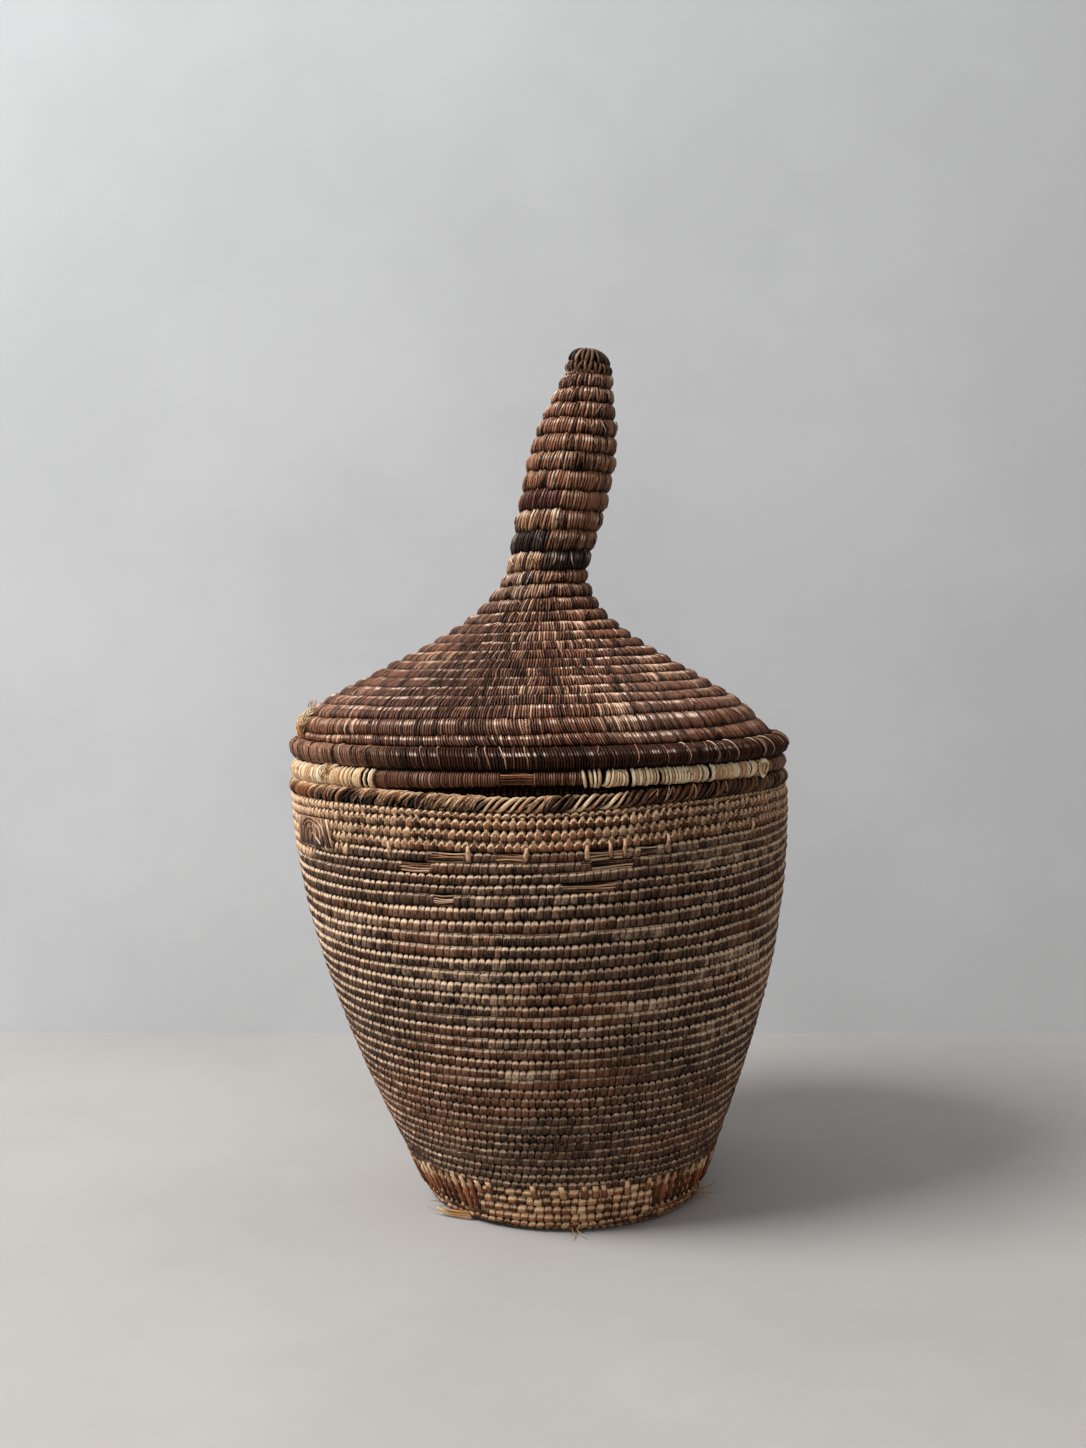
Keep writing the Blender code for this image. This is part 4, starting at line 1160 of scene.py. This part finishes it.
def dress_braid():
    """The braid along the rim's top: flat strips that climb to the right, ragged in one stretch."""
    braid = Piece()
    ring = Ring(body_place, RIM_RADIUS - BRAID_RADIUS, RIM_HEIGHT + BRAID_RADIUS, BRAID_RADIUS, -180, 180)
    lay_core(braid, ring, -0.5, 0.5, CORE_INSET, BRAID_CORE_STEPS)
    turns, widths = stitch_spots(ring, -0.5, 0.5, BRAID_STRIP, 0.4, 90)
    random = fixed_random(90)
    count = len(turns)
    orange = turns < -58 / 360
    brown = turns > 20 / 360
    looks = dict(low=0.02, high=0.98, camber=0.0004, sink=0.0007, rounding=0.0, grid=(3, 16), blunt=20.0)
    lean = 0.0140 + 0.0030 * (random.random(count) - 0.5)
    wide = widths * (0.50 + 0.22 * random.random(count) + 0.25 * brown)
    rise = 0.0006 * random.random(count)
    # Strips paler in the front stretch; the dimmer left end is painted shade under the lid's edge, the right
    # end the strips' own browner tone
    wear = random.random(count) * np.interp(turns * 360, (-45, -15, 15, 25), (0.3, 1.0, 1.0, 0.2))
    hue = random.random(count)
    for name, part in (("braid", ~orange & ~brown), ("base", orange), ("wall", brown)):
        lay(braid, name, ring, turns[part], wide[part], lean=lean[part], rise=rise[part],
            wear=wear[part], hue=hue[part], seed=91, **looks)
    count = 230
    ragged = -0.5 + random.random(count)
    ragged = np.where(random.random(count) < 0.25, (-42 + 30 * random.random(count)) / 360, ragged)
    lay(braid, "band", ring, ragged, 0.0005 + 0.0005 * random.random(count),
        low=0.25 + 0.2 * random.random(count), high=0.7 + 0.25 * random.random(count),
        lean=0.0020 + 0.0090 * random.random(count), camber=0.0003, sink=0.0002,
        rise=0.0005 + 0.0004 * random.random(count), rounding=0.0, tip=0.5, grid=(2, 8),
        wear=random.random(count), hue=random.random(count), seed=93)
    braid.finish("rim_braid", "plaited", "basket", "band_fibre")


# The patch's curled strips: points in shares of its half width and half height
PATCH_SWIRLS = (
    ((-0.55, -0.60), (-0.40, 0.30), (0.0, 0.66), (0.42, 0.30), (0.50, -0.40)),
    ((-0.30, -0.80), (-0.22, 0.0), (0.05, 0.30), (0.28, 0.0), (0.20, -0.55)),
    ((-0.62, 0.25), (-0.2, 0.86), (0.30, 0.80), (0.62, 0.35), (0.66, -0.2)),
    ((-0.10, -0.72), (0.02, -0.25), (0.12, -0.10), (0.30, -0.45), (0.45, -0.80)),
)


def on_body(degrees, length, lift):
    """World place on the basket's wall, by degrees from the front, length up the wall and lift."""
    at = BODY.outline.at(length) + BODY.outline.outward(length) * np.asarray(lift)[..., None]
    return body_place(FRONT + np.radians(degrees), at[..., 0], at[..., 1])


def dress_patch():
    """The patch sewn on the band at the left: dark strips with lighter ones curled over them."""
    piece = Piece()
    middle = BODY.outline.length - (RIM_ROWS + 1) * BAND_PITCH
    ground = COIL_THICKNESS / 2 + SEAM + 0.0004
    random = fixed_random(95)

    def strip(points, finish, width, lift, wear, seed):
        path = through(points, 6)
        lifts = ground + lift + 0.0003 * np.sin(np.linspace(0.0, np.pi, len(path)))
        degrees = PATCH_ANGLE + PATCH_HALF_ANGLE * path[:, 0]
        length = middle + PATCH_HALF_HEIGHT * path[:, 1]
        world = on_body(degrees, length, lifts)
        facing = world - on_body(degrees, length, lifts - 0.01)
        lay_strands(piece, finish, world[None], width, 0.0009, facing[None], 6, wear=wear,
                    hue=random.random(), seed=seed)

    for number in range(11):
        x = -0.62 + 0.115 * number
        strip([(x - 0.05, -0.95), (x + 0.03, 0.0), (x - 0.02, 0.92)], "knob", 0.0021, 0.0, 0.1, 300 + number)
    for number in range(3):
        x = -0.96 + 0.13 * number
        strip([(x - 0.04, -0.96), (x + 0.05, 0.0), (x + 0.12, 0.9)], "tan", 0.0016, 0.0002, 0.0, 320 + number)
        x = 0.66 + 0.13 * number
        strip([(x + 0.08, -0.96), (x, 0.0), (x - 0.12, 0.9)], "tan", 0.0016, 0.0002, 0.0, 330 + number)
    for number, points in enumerate(PATCH_SWIRLS):
        strip(points, "tan", 0.0006, 0.0006, 0.0, 340 + number)
    piece.finish("band_patch", "sewn", "basket", "band_fibre")


def dress_loose_strip():
    """The strip of fibre that has come away at the foot, split at its end."""
    piece = Piece()
    middle = BODY.length_at(FOOT + 0.5)
    crest = BODY.outline.at(middle) + BODY.outline.outward(middle) * COIL_THICKNESS / 2
    share = np.linspace(0.0, 1.0, 22)
    paths = []
    for height, length, splay, sway in LOOSE_STRANDS:
        reach = share * length
        rise = height + 0.0004 * np.sin(sway + 7.0 * share) * share
        radius = crest[0] + 0.0008 + 2 * SEAM + reach * splay + rise * math.tan(WALL_FLARE_AT_FOOT)
        angle = FRONT - math.radians(STRIP_ANGLE) - reach / FOOT_RADIUS
        paths.append(body_place(angle, radius, crest[1] + rise))
    paths = np.array(paths)
    taper = np.interp(share, (0.0, 0.08, 0.75, 1.0), (0.6, 1.0, 1.0, 0.25))
    lay_strands(piece, "straw", paths, (0.0020, 0.0019, 0.0010, 0.0006), 0.0006, paths * LEVEL, 8, taper,
                wear=0.1, hue=(0.9, 0.7, 0.9, 0.6), seed=97)
    piece.finish("base_loose_strip", "split", "basket", "base_fibre")


def stray_wraps(piece, finish, coil, begin, end, count, seed, low=0.1, high=0.95, lean=0.004):
    """Thin loose fibres that lie over the others at all slants."""
    random = fixed_random(seed)
    turns = begin + (end - begin) * random.random(count)
    lay(piece, finish, coil, turns, 0.0005 * (0.7 + 0.6 * random.random(count)),
        low=low + 0.3 * random.random(count), high=high - 0.2 * random.random(count),
        lean=lean * (2.0 * random.random(count) - 1.0), camber=0.0003, sink=0.0001,
        rise=0.0002 + 0.0003 * random.random(count), bow=0.0012 * (random.random(count) - 0.5), rounding=0.0,
        tip=0.5, foot=0.5, grid=(2, 8), wear=random.random(count), hue=random.random(count), seed=seed)


def wind(piece, finish, coil, begin, end, spacing, seed, grid=(2, 6), **looks):
    """Fine wraps round a coil of the lid, a little uneven in width and slant."""
    turns, widths = stitch_spots(coil, begin, end, spacing, 0.5, seed)
    random = fixed_random(seed)
    count = len(turns)
    places = coil.surface(turns, 0.5, np.zeros(count))
    groups = drift(np.stack([np.floor(turns) * 5.3, turns * 55.0, 0.0 * turns], -1), 1.0, seed)
    settings = dict(
        low=-0.02,
        high=1.0 + 0.06 * random.random(count),
        lean=(groups - 0.5) * 0.0018 + (random.random(count) - 0.5) * 0.0007,
        camber=0.00018 + 0.00018 * random.random(count),
        sink=0.00034,
        rise=0.00024 * (random.random(count) - 0.6),
        bow=(groups - 0.5) * 0.0008,
        rounding=0.0,
        wear=smooth_step(drift(places, 0.018, seed), 0.4, 0.85) * random.random(count) ** 2 * 1.1,
        hue=drift(places, 0.03, 15),
    )
    settings.update(looks)
    lay(piece, finish, coil, turns, widths * 0.97, grid=grid, seed=seed, **settings)


# Turns of the lid's coil that have another colour than their node's, and that colour
LID_COLOURS = ((15.47, 15.70, "tan"), (15.70, 16.70, "black"), (16.70, 17.47, "knob"), (17.47, 17.72, "tan"),
               (17.72, 18.45, "knob"), (18.45, 18.71, "purple"))


def colour_sections(begin, end, finish):
    """The stretches of one colour between two turns of the lid's coil."""
    sections = []
    here = begin
    for start, stop, colour in LID_COLOURS:
        first, last = max(start, begin), min(stop, end)
        if first >= last:
            continue
        if first > here:
            sections.append((here, first, finish))
        sections.append((first, last, colour))
        here = last
    if here < end:
        sections.append((here, end, finish))
    return sections


def dress_lid():
    """Core and wraps of every stretch of the lid's coil."""
    neck = CONE_ROWS - 3
    stretches = (
        ("cone_coils_lower", -1 + TAPERED_END, neck // 3, "lid", "dark_fibre"),
        ("cone_coils_middle", neck // 3, 2 * neck // 3, "lid", "dark_fibre"),
        ("cone_coils_upper", 2 * neck // 3, neck, "lid", "dark_fibre"),
        ("neck_coils", neck, CONE_ROWS, "knob", "brown_fibre"),
        ("knob_black_coils", CONE_ROWS, CONE_ROWS + 2, "black", "black_fibre"),
        ("knob_coils_lower", CONE_ROWS + 2, CONE_ROWS + 5, "knob", "brown_fibre"),
        ("knob_coils_middle", CONE_ROWS + 5, LID_TOP - 3, "knob", "brown_fibre"),
        ("knob_coils_upper", LID_TOP - 3, LID_TOP - TAPERED_END, "knob", "brown_fibre"),
    )
    for seed, (node, begin, end, finish, slot) in enumerate(stretches, 100):
        piece = Piece()
        steps = CONE_CORE_STEPS if end < CONE_ROWS else KNOB_CORE_STEPS
        lay_core(piece, LID, begin, end, CORE_INSET, steps)
        for part, (first, last, colour) in enumerate(colour_sections(begin, end, finish)):
            wind(piece, colour, LID, first, last, CONE_WRAP, seed * 10 + part)
        stray_wraps(piece, finish, LID, begin, end, int(16 * (end - begin)), seed + 60)
        if begin < neck:
            dress_inside(piece, "lid", LID, begin, end, LID_INNER_STITCH, seed + 40)
        if begin < 0:
            straw_tuft(piece)
        piece.finish(node, "wrapped", "lid", slot)


def strand_draws(random, count):
    """A way to draw one value for each of so many strands, between two limits."""
    def spread(low, high):
        return (low + (high - low) * random.random(count))[:, None]

    return spread


def straw_tuft(piece):
    """The frayed bunch of straw that stands out at the lid's left edge."""
    random = fixed_random(171)
    count = 90
    spread = strand_draws(random, count)
    steps = np.linspace(0.0, 1.0, 11)[None, :]
    turns = front_turn(LID, 0, TUFT_ANGLE) + spread(-5.0, 5.0) / 360.0 + spread(-2.0, 2.0) / 360.0 * steps
    share = spread(-0.6, 0.0) + spread(1.0, 1.8) * steps
    lift = 0.0032 + spread(0.0006, 0.0030) * np.sin(np.pi * steps)
    lift = lift + 0.0004 * np.sin(steps * 9.0 + spread(0.0, 6.0))
    paths = LID.surface(turns, share, lift)
    taper = np.interp(steps[0], (0.0, 0.2, 0.8, 1.0), (0.7, 1.0, 0.9, 0.3))
    lay_strands(piece, "straw", paths, spread(0.0004, 0.0010)[:, 0], 0.0005, paths * LEVEL, 5, taper,
                wear=random.random(count), hue=random.random(count), seed=172)
    spread = strand_draws(random, 9)
    turns = front_turn(LID, 0, TUFT_ANGLE - 0.5) + spread(-4.0, 4.0) / 360.0
    turns = turns + spread(-3.0, 1.0) / 360.0 * steps
    share = spread(0.9, 1.3) + spread(0.3, 0.7) * steps
    lift = 0.0038 + spread(0.0015, 0.0050) * steps ** 1.5
    paths = LID.surface(turns, share, lift)
    lay_strands(piece, "lid", paths, 0.0004, 0.0004, paths * LEVEL, 5, taper, wear=0.3, seed=173)


# Tiers of the knob's tip: strands, and their line as share of the seat's radius and rise
TIP_TIERS = (
    (28, ((0.86, -0.0026), (1.02, -0.0012), (1.07, 0.0004), (0.99, 0.0020), (0.80, 0.0032))),
    (22, ((0.70, 0.0016), (0.90, 0.0028), (0.91, 0.0046), (0.74, 0.0070), (0.46, 0.0086), (0.18, 0.0090))),
)


def dress_knob_tip():
    """The ends of the fibres, turned in over the last coil in two tiers."""
    piece = Piece()
    outward = LID.outline.outward(LID.outline.length)
    along = np.array([-outward[1], outward[0]])
    radius, height = LID.outline.at(LID.outline.length) + along * SEAM * 2 + outward * 0.0034
    around = 2 * np.pi * np.arange(16)[None, :] / 16
    core_line = through(((0.80, -0.0026), (0.92, 0.0004), (0.76, 0.0028), (0.78, 0.0046), (0.30, 0.0082)), 5)
    core = lid_place(LID_COIL_START + around, radius * core_line[:, :1], height + core_line[:, 1:])
    # A near-black core tube under the tip's strands: painted shade between them
    add_tubes(piece, "core", core[None], wear=0.1, hue=0.5, seed=180)
    random = fixed_random(181)
    for tier, (count, points) in enumerate(TIP_TIERS):
        line = through(points, 4)
        angle = 2 * np.pi * (np.arange(count) + 0.4 * random.random(count))[:, None] / count
        angle = angle + (0.25 * random.random(count) - 0.05)[:, None] * np.linspace(-1.0, 1.0, len(line))
        swell = (0.96 + 0.08 * random.random(count))[:, None]
        paths = lid_place(angle, radius * line[:, 0] * swell, height + line[:, 1])
        middle = height + (line[0, 1] + line[-1, 1]) / 2
        centre = lid_place(angle, 0.0 * angle, middle + 0.0 * angle)
        taper = np.interp(np.linspace(0.0, 1.0, len(line)), (0.0, 0.2, 0.6, 1.0), (0.7, 1.0, 0.9, 0.4))
        lay_strands(piece, "tip", paths, 0.0019 - 0.0006 * random.random(count), 0.0010, paths - centre, 7,
                    taper, wear=1.3 * random.random(count) ** 5, hue=random.random(count), seed=182 + tier)
    piece.finish("knob_tip", "fluted", "lid", "brown_fibre")


# The edge coil's largest size, as a share of its radius
EDGE_SWELL = 1.12
# The edge coil's nodes: their ends in degrees from the front, slot, sizes at the ends, finish and spacing
EDGE_SECTIONS = (
    ("edge_coil_cream_left", -120, -37.6, "natural_fibre", EDGE_SWELL, 1.08, "cream", 0.0013),
    ("edge_coil_dark_left", -37.6, -8.2, "dark_fibre", 1.05, 0.80, "edge", 0.00095),
    ("edge_coil_bare_core", -8.2, -1.2, "bare_grass", 0.78, 0.78, None, 0.0),
    ("edge_coil_dark_right", -1.2, 8.9, "dark_fibre", 0.80, 0.80, "edge", 0.00095),
    ("edge_coil_cream_right", 8.9, 60.8, "natural_fibre", 0.88, 0.85, "cream", 0.0014),
    ("edge_coil_brown_back", 60.8, 240, "brown_fibre", 0.85, EDGE_SWELL, "knob", 0.0012),
)


def loose_wraps(piece, finish, ring, begin, end, spacing, seed):
    """Coarse straw wraps that lean and bow in groups, with dark gaps here and there."""
    turns, widths = stitch_spots(ring, begin, end, spacing, 0.5, seed)
    random = fixed_random(seed)
    kept = random.random(len(turns)) > 0.09
    turns, widths = turns[kept], widths[kept]
    count = len(turns)
    groups = drift(np.stack([turns * 75.0, 0.0 * turns, 0.0 * turns], -1), 1.0, seed)
    lay(piece, finish, ring, turns, widths * (0.8 + 0.25 * random.random(count)),
        lean=(groups - 0.5) * 0.0070, bow=(groups - 0.3) * 0.0024, sink=0.0004, rounding=0.0, grid=(3, 16),
        rise=0.0006 * random.random(count) ** 2, wear=0.6 * random.random(count), hue=groups, seed=seed,
        **RING_LOOKS)


# Long straws that run off from the tangle: their ends in degrees, and in shares of the ring's section
LONG_STRAWS = ((-52.5, -43.5, 0.66, 0.84), (-51.5, -44.5, 0.62, 0.80), (-52.0, -47.0, 0.58, 0.78))


def straw_tangle(piece, ring):
    """The knot of loose straw on the cream stretch at the left, with ends that run off to the right."""
    random = fixed_random(191)
    count = 26
    spread = strand_draws(random, count)
    steps = np.linspace(0.0, 1.0, 12)[None, :]
    degrees = -53.5 + spread(-1.6, 1.6)
    degrees = degrees + spread(-1.4, 1.4) * np.sin(spread(2.0, 5.0) * steps + spread(0.0, 3.0))
    share = spread(0.42, 0.62) + spread(0.15, 0.36) * steps
    lift = 0.0004 + spread(0.0002, 0.0015) * np.sin(np.pi * steps)
    paths = ring.surface(degrees / 360, share, lift)
    taper = np.interp(steps[0], (0.0, 0.2, 0.8, 1.0), (0.5, 1.0, 1.0, 0.4))
    lay_strands(piece, "straw", paths, spread(0.0003, 0.0006)[:, 0], 0.0004, paths * LEVEL, 5, taper,
                wear=random.random(count), hue=random.random(count), seed=192)
    for seed, (begin, end, low, high) in enumerate(LONG_STRAWS, 195):
        turns = (begin + (end - begin) * steps) / 360
        share = low + (high - low) * np.sin(0.5 * np.pi * steps)
        path = ring.surface(turns, share, 0.0008 + 0.0010 * np.sin(np.pi * steps))
        lay_strands(piece, "straw", path, 0.0008, 0.0005, path * LEVEL, 6, taper, wear=0.6, hue=0.3,
                    seed=seed)


def golden_stalks(piece, ring, begin, end):
    """The bare stalks of the bundle, side by side along the coil."""
    random = fixed_random(201)
    count = 9
    steps = np.linspace(0.0, 1.0, 12)[None, :]
    phase = 5.0 * random.random((count, 1))
    share = np.linspace(0.24, 0.82, count)[:, None] + 0.006 * np.sin(7.0 * steps + phase)
    turns = begin + (end - begin) * steps + 0.0 * share
    paths = ring.surface(turns, share, -0.0004 - 0.0005 * random.random((count, 1)) + 0.0 * share)
    inside = ring.surface(turns, share, -0.0015 + 0.0 * share)
    lay_strands(piece, "golden", paths, 0.0007 + 0.0003 * random.random(count), 0.0008, paths - inside,
                wear=0.7 * random.random(count), hue=random.random(count), seed=202)


# Thin pale wraps on the brim coil, in degrees from the front
PALE_BRIM_WRAPS = (-61.0, -47.5, -39.0, -24.8, -20.9, -12.3, -10.4, -7.2, -2.3, 33.0, 41.0, 47.0, 56.0, 63.0)
# Turns round the brim coil, and how light its wraps are there
BRIM_LIGHT = ((-0.5, -0.22, -0.14, -0.08, -0.05, 0.24, 0.30, 0.36, 0.5),
              (1.0, 1.0, 0.85, 0.3, 0.0, 0.0, 0.5, 1.0, 1.0))
# The cords that close the brim coil's seams, in the near-black core finish as painted shade: their place
# across and up from its middle, and their radius
LID_SEAMS = ((-0.0044, 0.0029, 0.0023), (0.0, -0.0046, 0.0018))


def dress_brim():
    """The brim coil in glossy dark wraps, with a few pale ones."""
    brim = Piece()
    ring = Ring(lid_place, BRIM_RADIUS, BRIM_COIL_RADIUS, BRIM_COIL_RADIUS, -180, 180)
    lay_core(brim, ring, -0.5, 0.5, BRIM_CORE_INSET)
    for across, up, cord in LID_SEAMS:
        seam = Ring(lid_place, BRIM_RADIUS + across, up + cord, cord, -180, 180)
        lay_core(brim, seam, -0.5, 0.5, 0.0)
    turns = stitch_spots(ring, -0.5, 0.5, BRIM_WRAP, 0.5, 130)[0]
    lightness = 0.35 + 0.3 * np.interp(turns, *BRIM_LIGHT)
    lightness = lightness + 0.05 * (drift(ring.surface(turns, 0.5, 0.0), 0.01, 17) - 0.5)
    wind(brim, "brim", ring, -0.5, 0.5, BRIM_WRAP, 130, (2, 14), hue=lightness, wear=0.0, **RING_LOOKS)
    random = fixed_random(131)
    turns = np.array(PALE_BRIM_WRAPS) / 360
    count = len(turns)
    lay(brim, "tan", ring, turns, 0.0004 + 0.0003 * random.random(count), low=0.30, high=0.82,
        lean=-0.0020 + 0.0030 * random.random(count), camber=0.0002, sink=0.0001, rise=0.0003,
        bow=0.0010 * (random.random(count) - 0.5), rounding=0.0, tip=0.4, foot=0.6, grid=(2, 12),
        wear=random.random(count), seed=132)
    stray_wraps(brim, "brim", ring, -0.5, 0.5, 90, 133, 0.3, 0.85, 0.003)
    brim.finish("lid_brim_coil", "wrapped", "lid", "dark_fibre")


def dress_edge():
    """The sections of the edge coil, each in its own wrapping."""
    top = -BRIM_COIL_RADIUS - SEAM
    for seed, (node, start, end, slot, first, last, finish, spacing) in enumerate(EDGE_SECTIONS, 140):
        piece = Piece()
        ring = Ring(lid_place, BRIM_RADIUS, top, EDGE_COIL_RADIUS, start, end, first, last)
        begin, stop = start / 360, end / 360
        lay_core(piece, ring, begin, stop, EDGE_CORE_INSET)
        if finish == "cream":
            loose_wraps(piece, "cream", ring, begin, stop, spacing, seed)
            stray_wraps(piece, "straw", ring, begin + 0.01, stop - 0.01, 26, seed + 50, 0.3, 0.85, 0.006)
        elif finish:
            wind(piece, finish, ring, begin, stop, spacing, seed, (2, 14), **RING_LOOKS)
        else:
            golden_stalks(piece, ring, begin, stop)
        if node == "edge_coil_cream_left":
            straw_tangle(piece, ring)
        piece.finish(node, "wrapped", "lid", slot)


def dress_tail_loop():
    """The end of a wrapping fibre, curled into a small loop."""
    piece = Piece()
    edge = EDGE_COIL_RADIUS * EDGE_SIZE_AT_LOOP
    angle = math.radians(LOOP_ANGLE)
    centre = lid_place(FRONT + angle, BRIM_RADIUS + edge + LOOP_FIBRE + SEAM, -BRIM_COIL_RADIUS - SEAM - edge)
    side = np.array([math.cos(angle), math.sin(angle), 0.0])
    outward = np.array([side[1], -side[0], 0.0])
    for number, (begin, end, size, gap) in enumerate(LOOP_CURLS):
        curl = np.linspace(begin, end, 40)[:, None]
        swell = LOOP_RADIUS * size * (1.0 + 0.05 * np.sin(3.0 * curl + number))
        path = centre + swell * (np.cos(curl) * side + np.sin(curl) * UP)
        path = path + outward * (gap + 0.0003 * np.sin(2.0 * curl))
        lay_strands(piece, "straw", path[None], 2 * LOOP_FIBRE, 0.0008, outward, 7, wear=0.7, hue=0.4,
                    seed=210 + number)
    piece.finish("edge_tail_loop", "curled", "lid", "natural_fibre")


def dress_collar():
    """The coils inside the lid that keep it in the mouth."""
    radius = BRIM_RADIUS - EDGE_COIL_RADIUS * EDGE_SWELL - COLLAR_GAP - SEAM - COLLAR_THICKNESS / 2
    upper = EDGE_HEIGHT - BRIM_HEIGHT + COLLAR_PITCH / 2
    outline = Outline([[(radius, upper - COLLAR_ROWS * COLLAR_PITCH), (radius, upper)]])
    relief = ((0, 0.0010, 0.0022, 2.2), (COLLAR_ROWS, 0.0010, 0.0022, 2.2))
    starts = even_rows(0.0, outline.length, COLLAR_PITCH)
    collar = Coil(outline, starts, lid_place, LID_COIL_START, relief, relief)
    piece = Piece()
    begin, end = -1 + TAPERED_END, COLLAR_ROWS - TAPERED_END
    lay_core(piece, collar, begin, end, COLLAR_CORE_INSET)
    for side in (1, -1):
        turns, widths = stitch_spots(collar, begin, end, COLLAR_WRAP, 0.3, 150)
        # Dark brim wraps (hue 0.2) on the collar: painted shade inside the lid's rim
        lay(piece, "brim", collar, turns, widths * 0.95, camber=0.0002, side=side, grid=(2, 4),
            hue=0.2, seed=150 + side)
    piece.finish("lid_collar", "wrapped", "lid", "brown_fibre")


def light_studio():
    """A broad lamp from the upper left, a weak fill lamp, and a pale world that lights more from above than
    from the horizon and that the camera sees in one plain tone.
    """
    world = bpy.data.worlds.new("studio")
    bpy.context.scene.world = world
    nodes = Nodes(world)
    path = nodes.make("LightPath", {}, {}, "Is Camera Ray")
    direction = nodes.make("TexCoord", {}, {}, "Generated")
    height = nodes.make("SeparateXYZ", {}, {"Vector": direction}, "Z")
    strength = height.between(0.0, 0.9) * 0.43 + 0.08
    lit = nodes.make("Background", {}, {"Color": WORLD_LIGHT, "Strength": strength})
    seen = nodes.make("Background", {}, {"Color": tone(*SKY_TONE), "Strength": 1.0})
    nodes.make("OutputWorld", {}, {"Surface": nodes.make("MixShader", {}, {0: path, 1: lit, 2: seen})})
    for name, place, size, power in LAMPS:
        lamp = bpy.data.lights.new(name, "AREA")
        lamp.shape = "DISK"
        lamp.size = size
        lamp.energy = power
        thing = bpy.data.objects.new(name, lamp)
        thing.location = place
        aim = Vector(LAMP_TARGET) - thing.location
        thing.rotation_euler = aim.to_track_quat("-Z", "Y").to_euler()
        bpy.context.scene.collection.objects.link(thing)


def stage_panel(name, corners, colour):
    """One plain panel of the studio, with the faintest mottling."""
    mesh = bpy.data.meshes.new(name)
    mesh.from_pydata(corners, [], [(0, 1, 2, 3)])
    material = bpy.data.materials.new(name)
    nodes = Nodes(material)
    place = nodes.make("TexCoord", {}, {}, "Object")
    cloud = nodes.noise(place, 5.0, 4.0)
    darker = tuple(part * 0.93 for part in colour[:3]) + (1.0,)
    shade = nodes.blend(cloud.between(0.35, 0.65), darker, colour)
    matt = nodes.make("BsdfDiffuse", {}, {"Color": shade})
    clear = nodes.make("BsdfTransparent")
    back = nodes.make("NewGeometry", {}, {}, "Backfacing")
    nodes.make("OutputMaterial", {}, {"Surface": nodes.make("MixShader", {}, {0: back, 1: matt, 2: clear})})
    mesh.materials.append(material)
    thing = bpy.data.objects.new(name, mesh)
    bpy.context.scene.collection.objects.link(thing)


def set_camera():
    """The photograph's view."""
    camera = bpy.data.objects.new("camera", bpy.data.cameras.new("camera"))
    camera.data.sensor_fit = "VERTICAL"
    camera.data.sensor_height = SENSOR
    camera.data.sensor_width = SENSOR
    camera.data.lens = CAMERA_LENS
    camera.location = CAMERA_PLACE
    camera.rotation_euler = (CAMERA_PITCH, 0.0, 0.0)
    bpy.context.scene.collection.objects.link(camera)
    bpy.context.scene.camera = camera
    bpy.context.scene.view_settings.view_transform = "Standard"


def build_stage():
    """The plain floor, and the plain wall behind the basket."""
    low, far, wall = FLOOR_HEIGHT, STAGE_REACH, BACKDROP_PLACE
    stage_panel("floor", [(-far, -far, low), (far, -far, low), (far, far, low), (-far, far, low)],
                tone(*FLOOR_TONE))
    stage_panel("backdrop", [(-far, wall, low), (far, wall, low), (far, wall, far), (-far, wall, far)],
                tone(*BACKDROP_TONE))


set_camera()
light_studio()
build_stage()
for dress in (dress_body, dress_disc, dress_band, dress_braid, dress_patch, dress_loose_strip, dress_lid,
              dress_knob_tip, dress_brim, dress_edge, dress_tail_loop, dress_collar):
    dress()
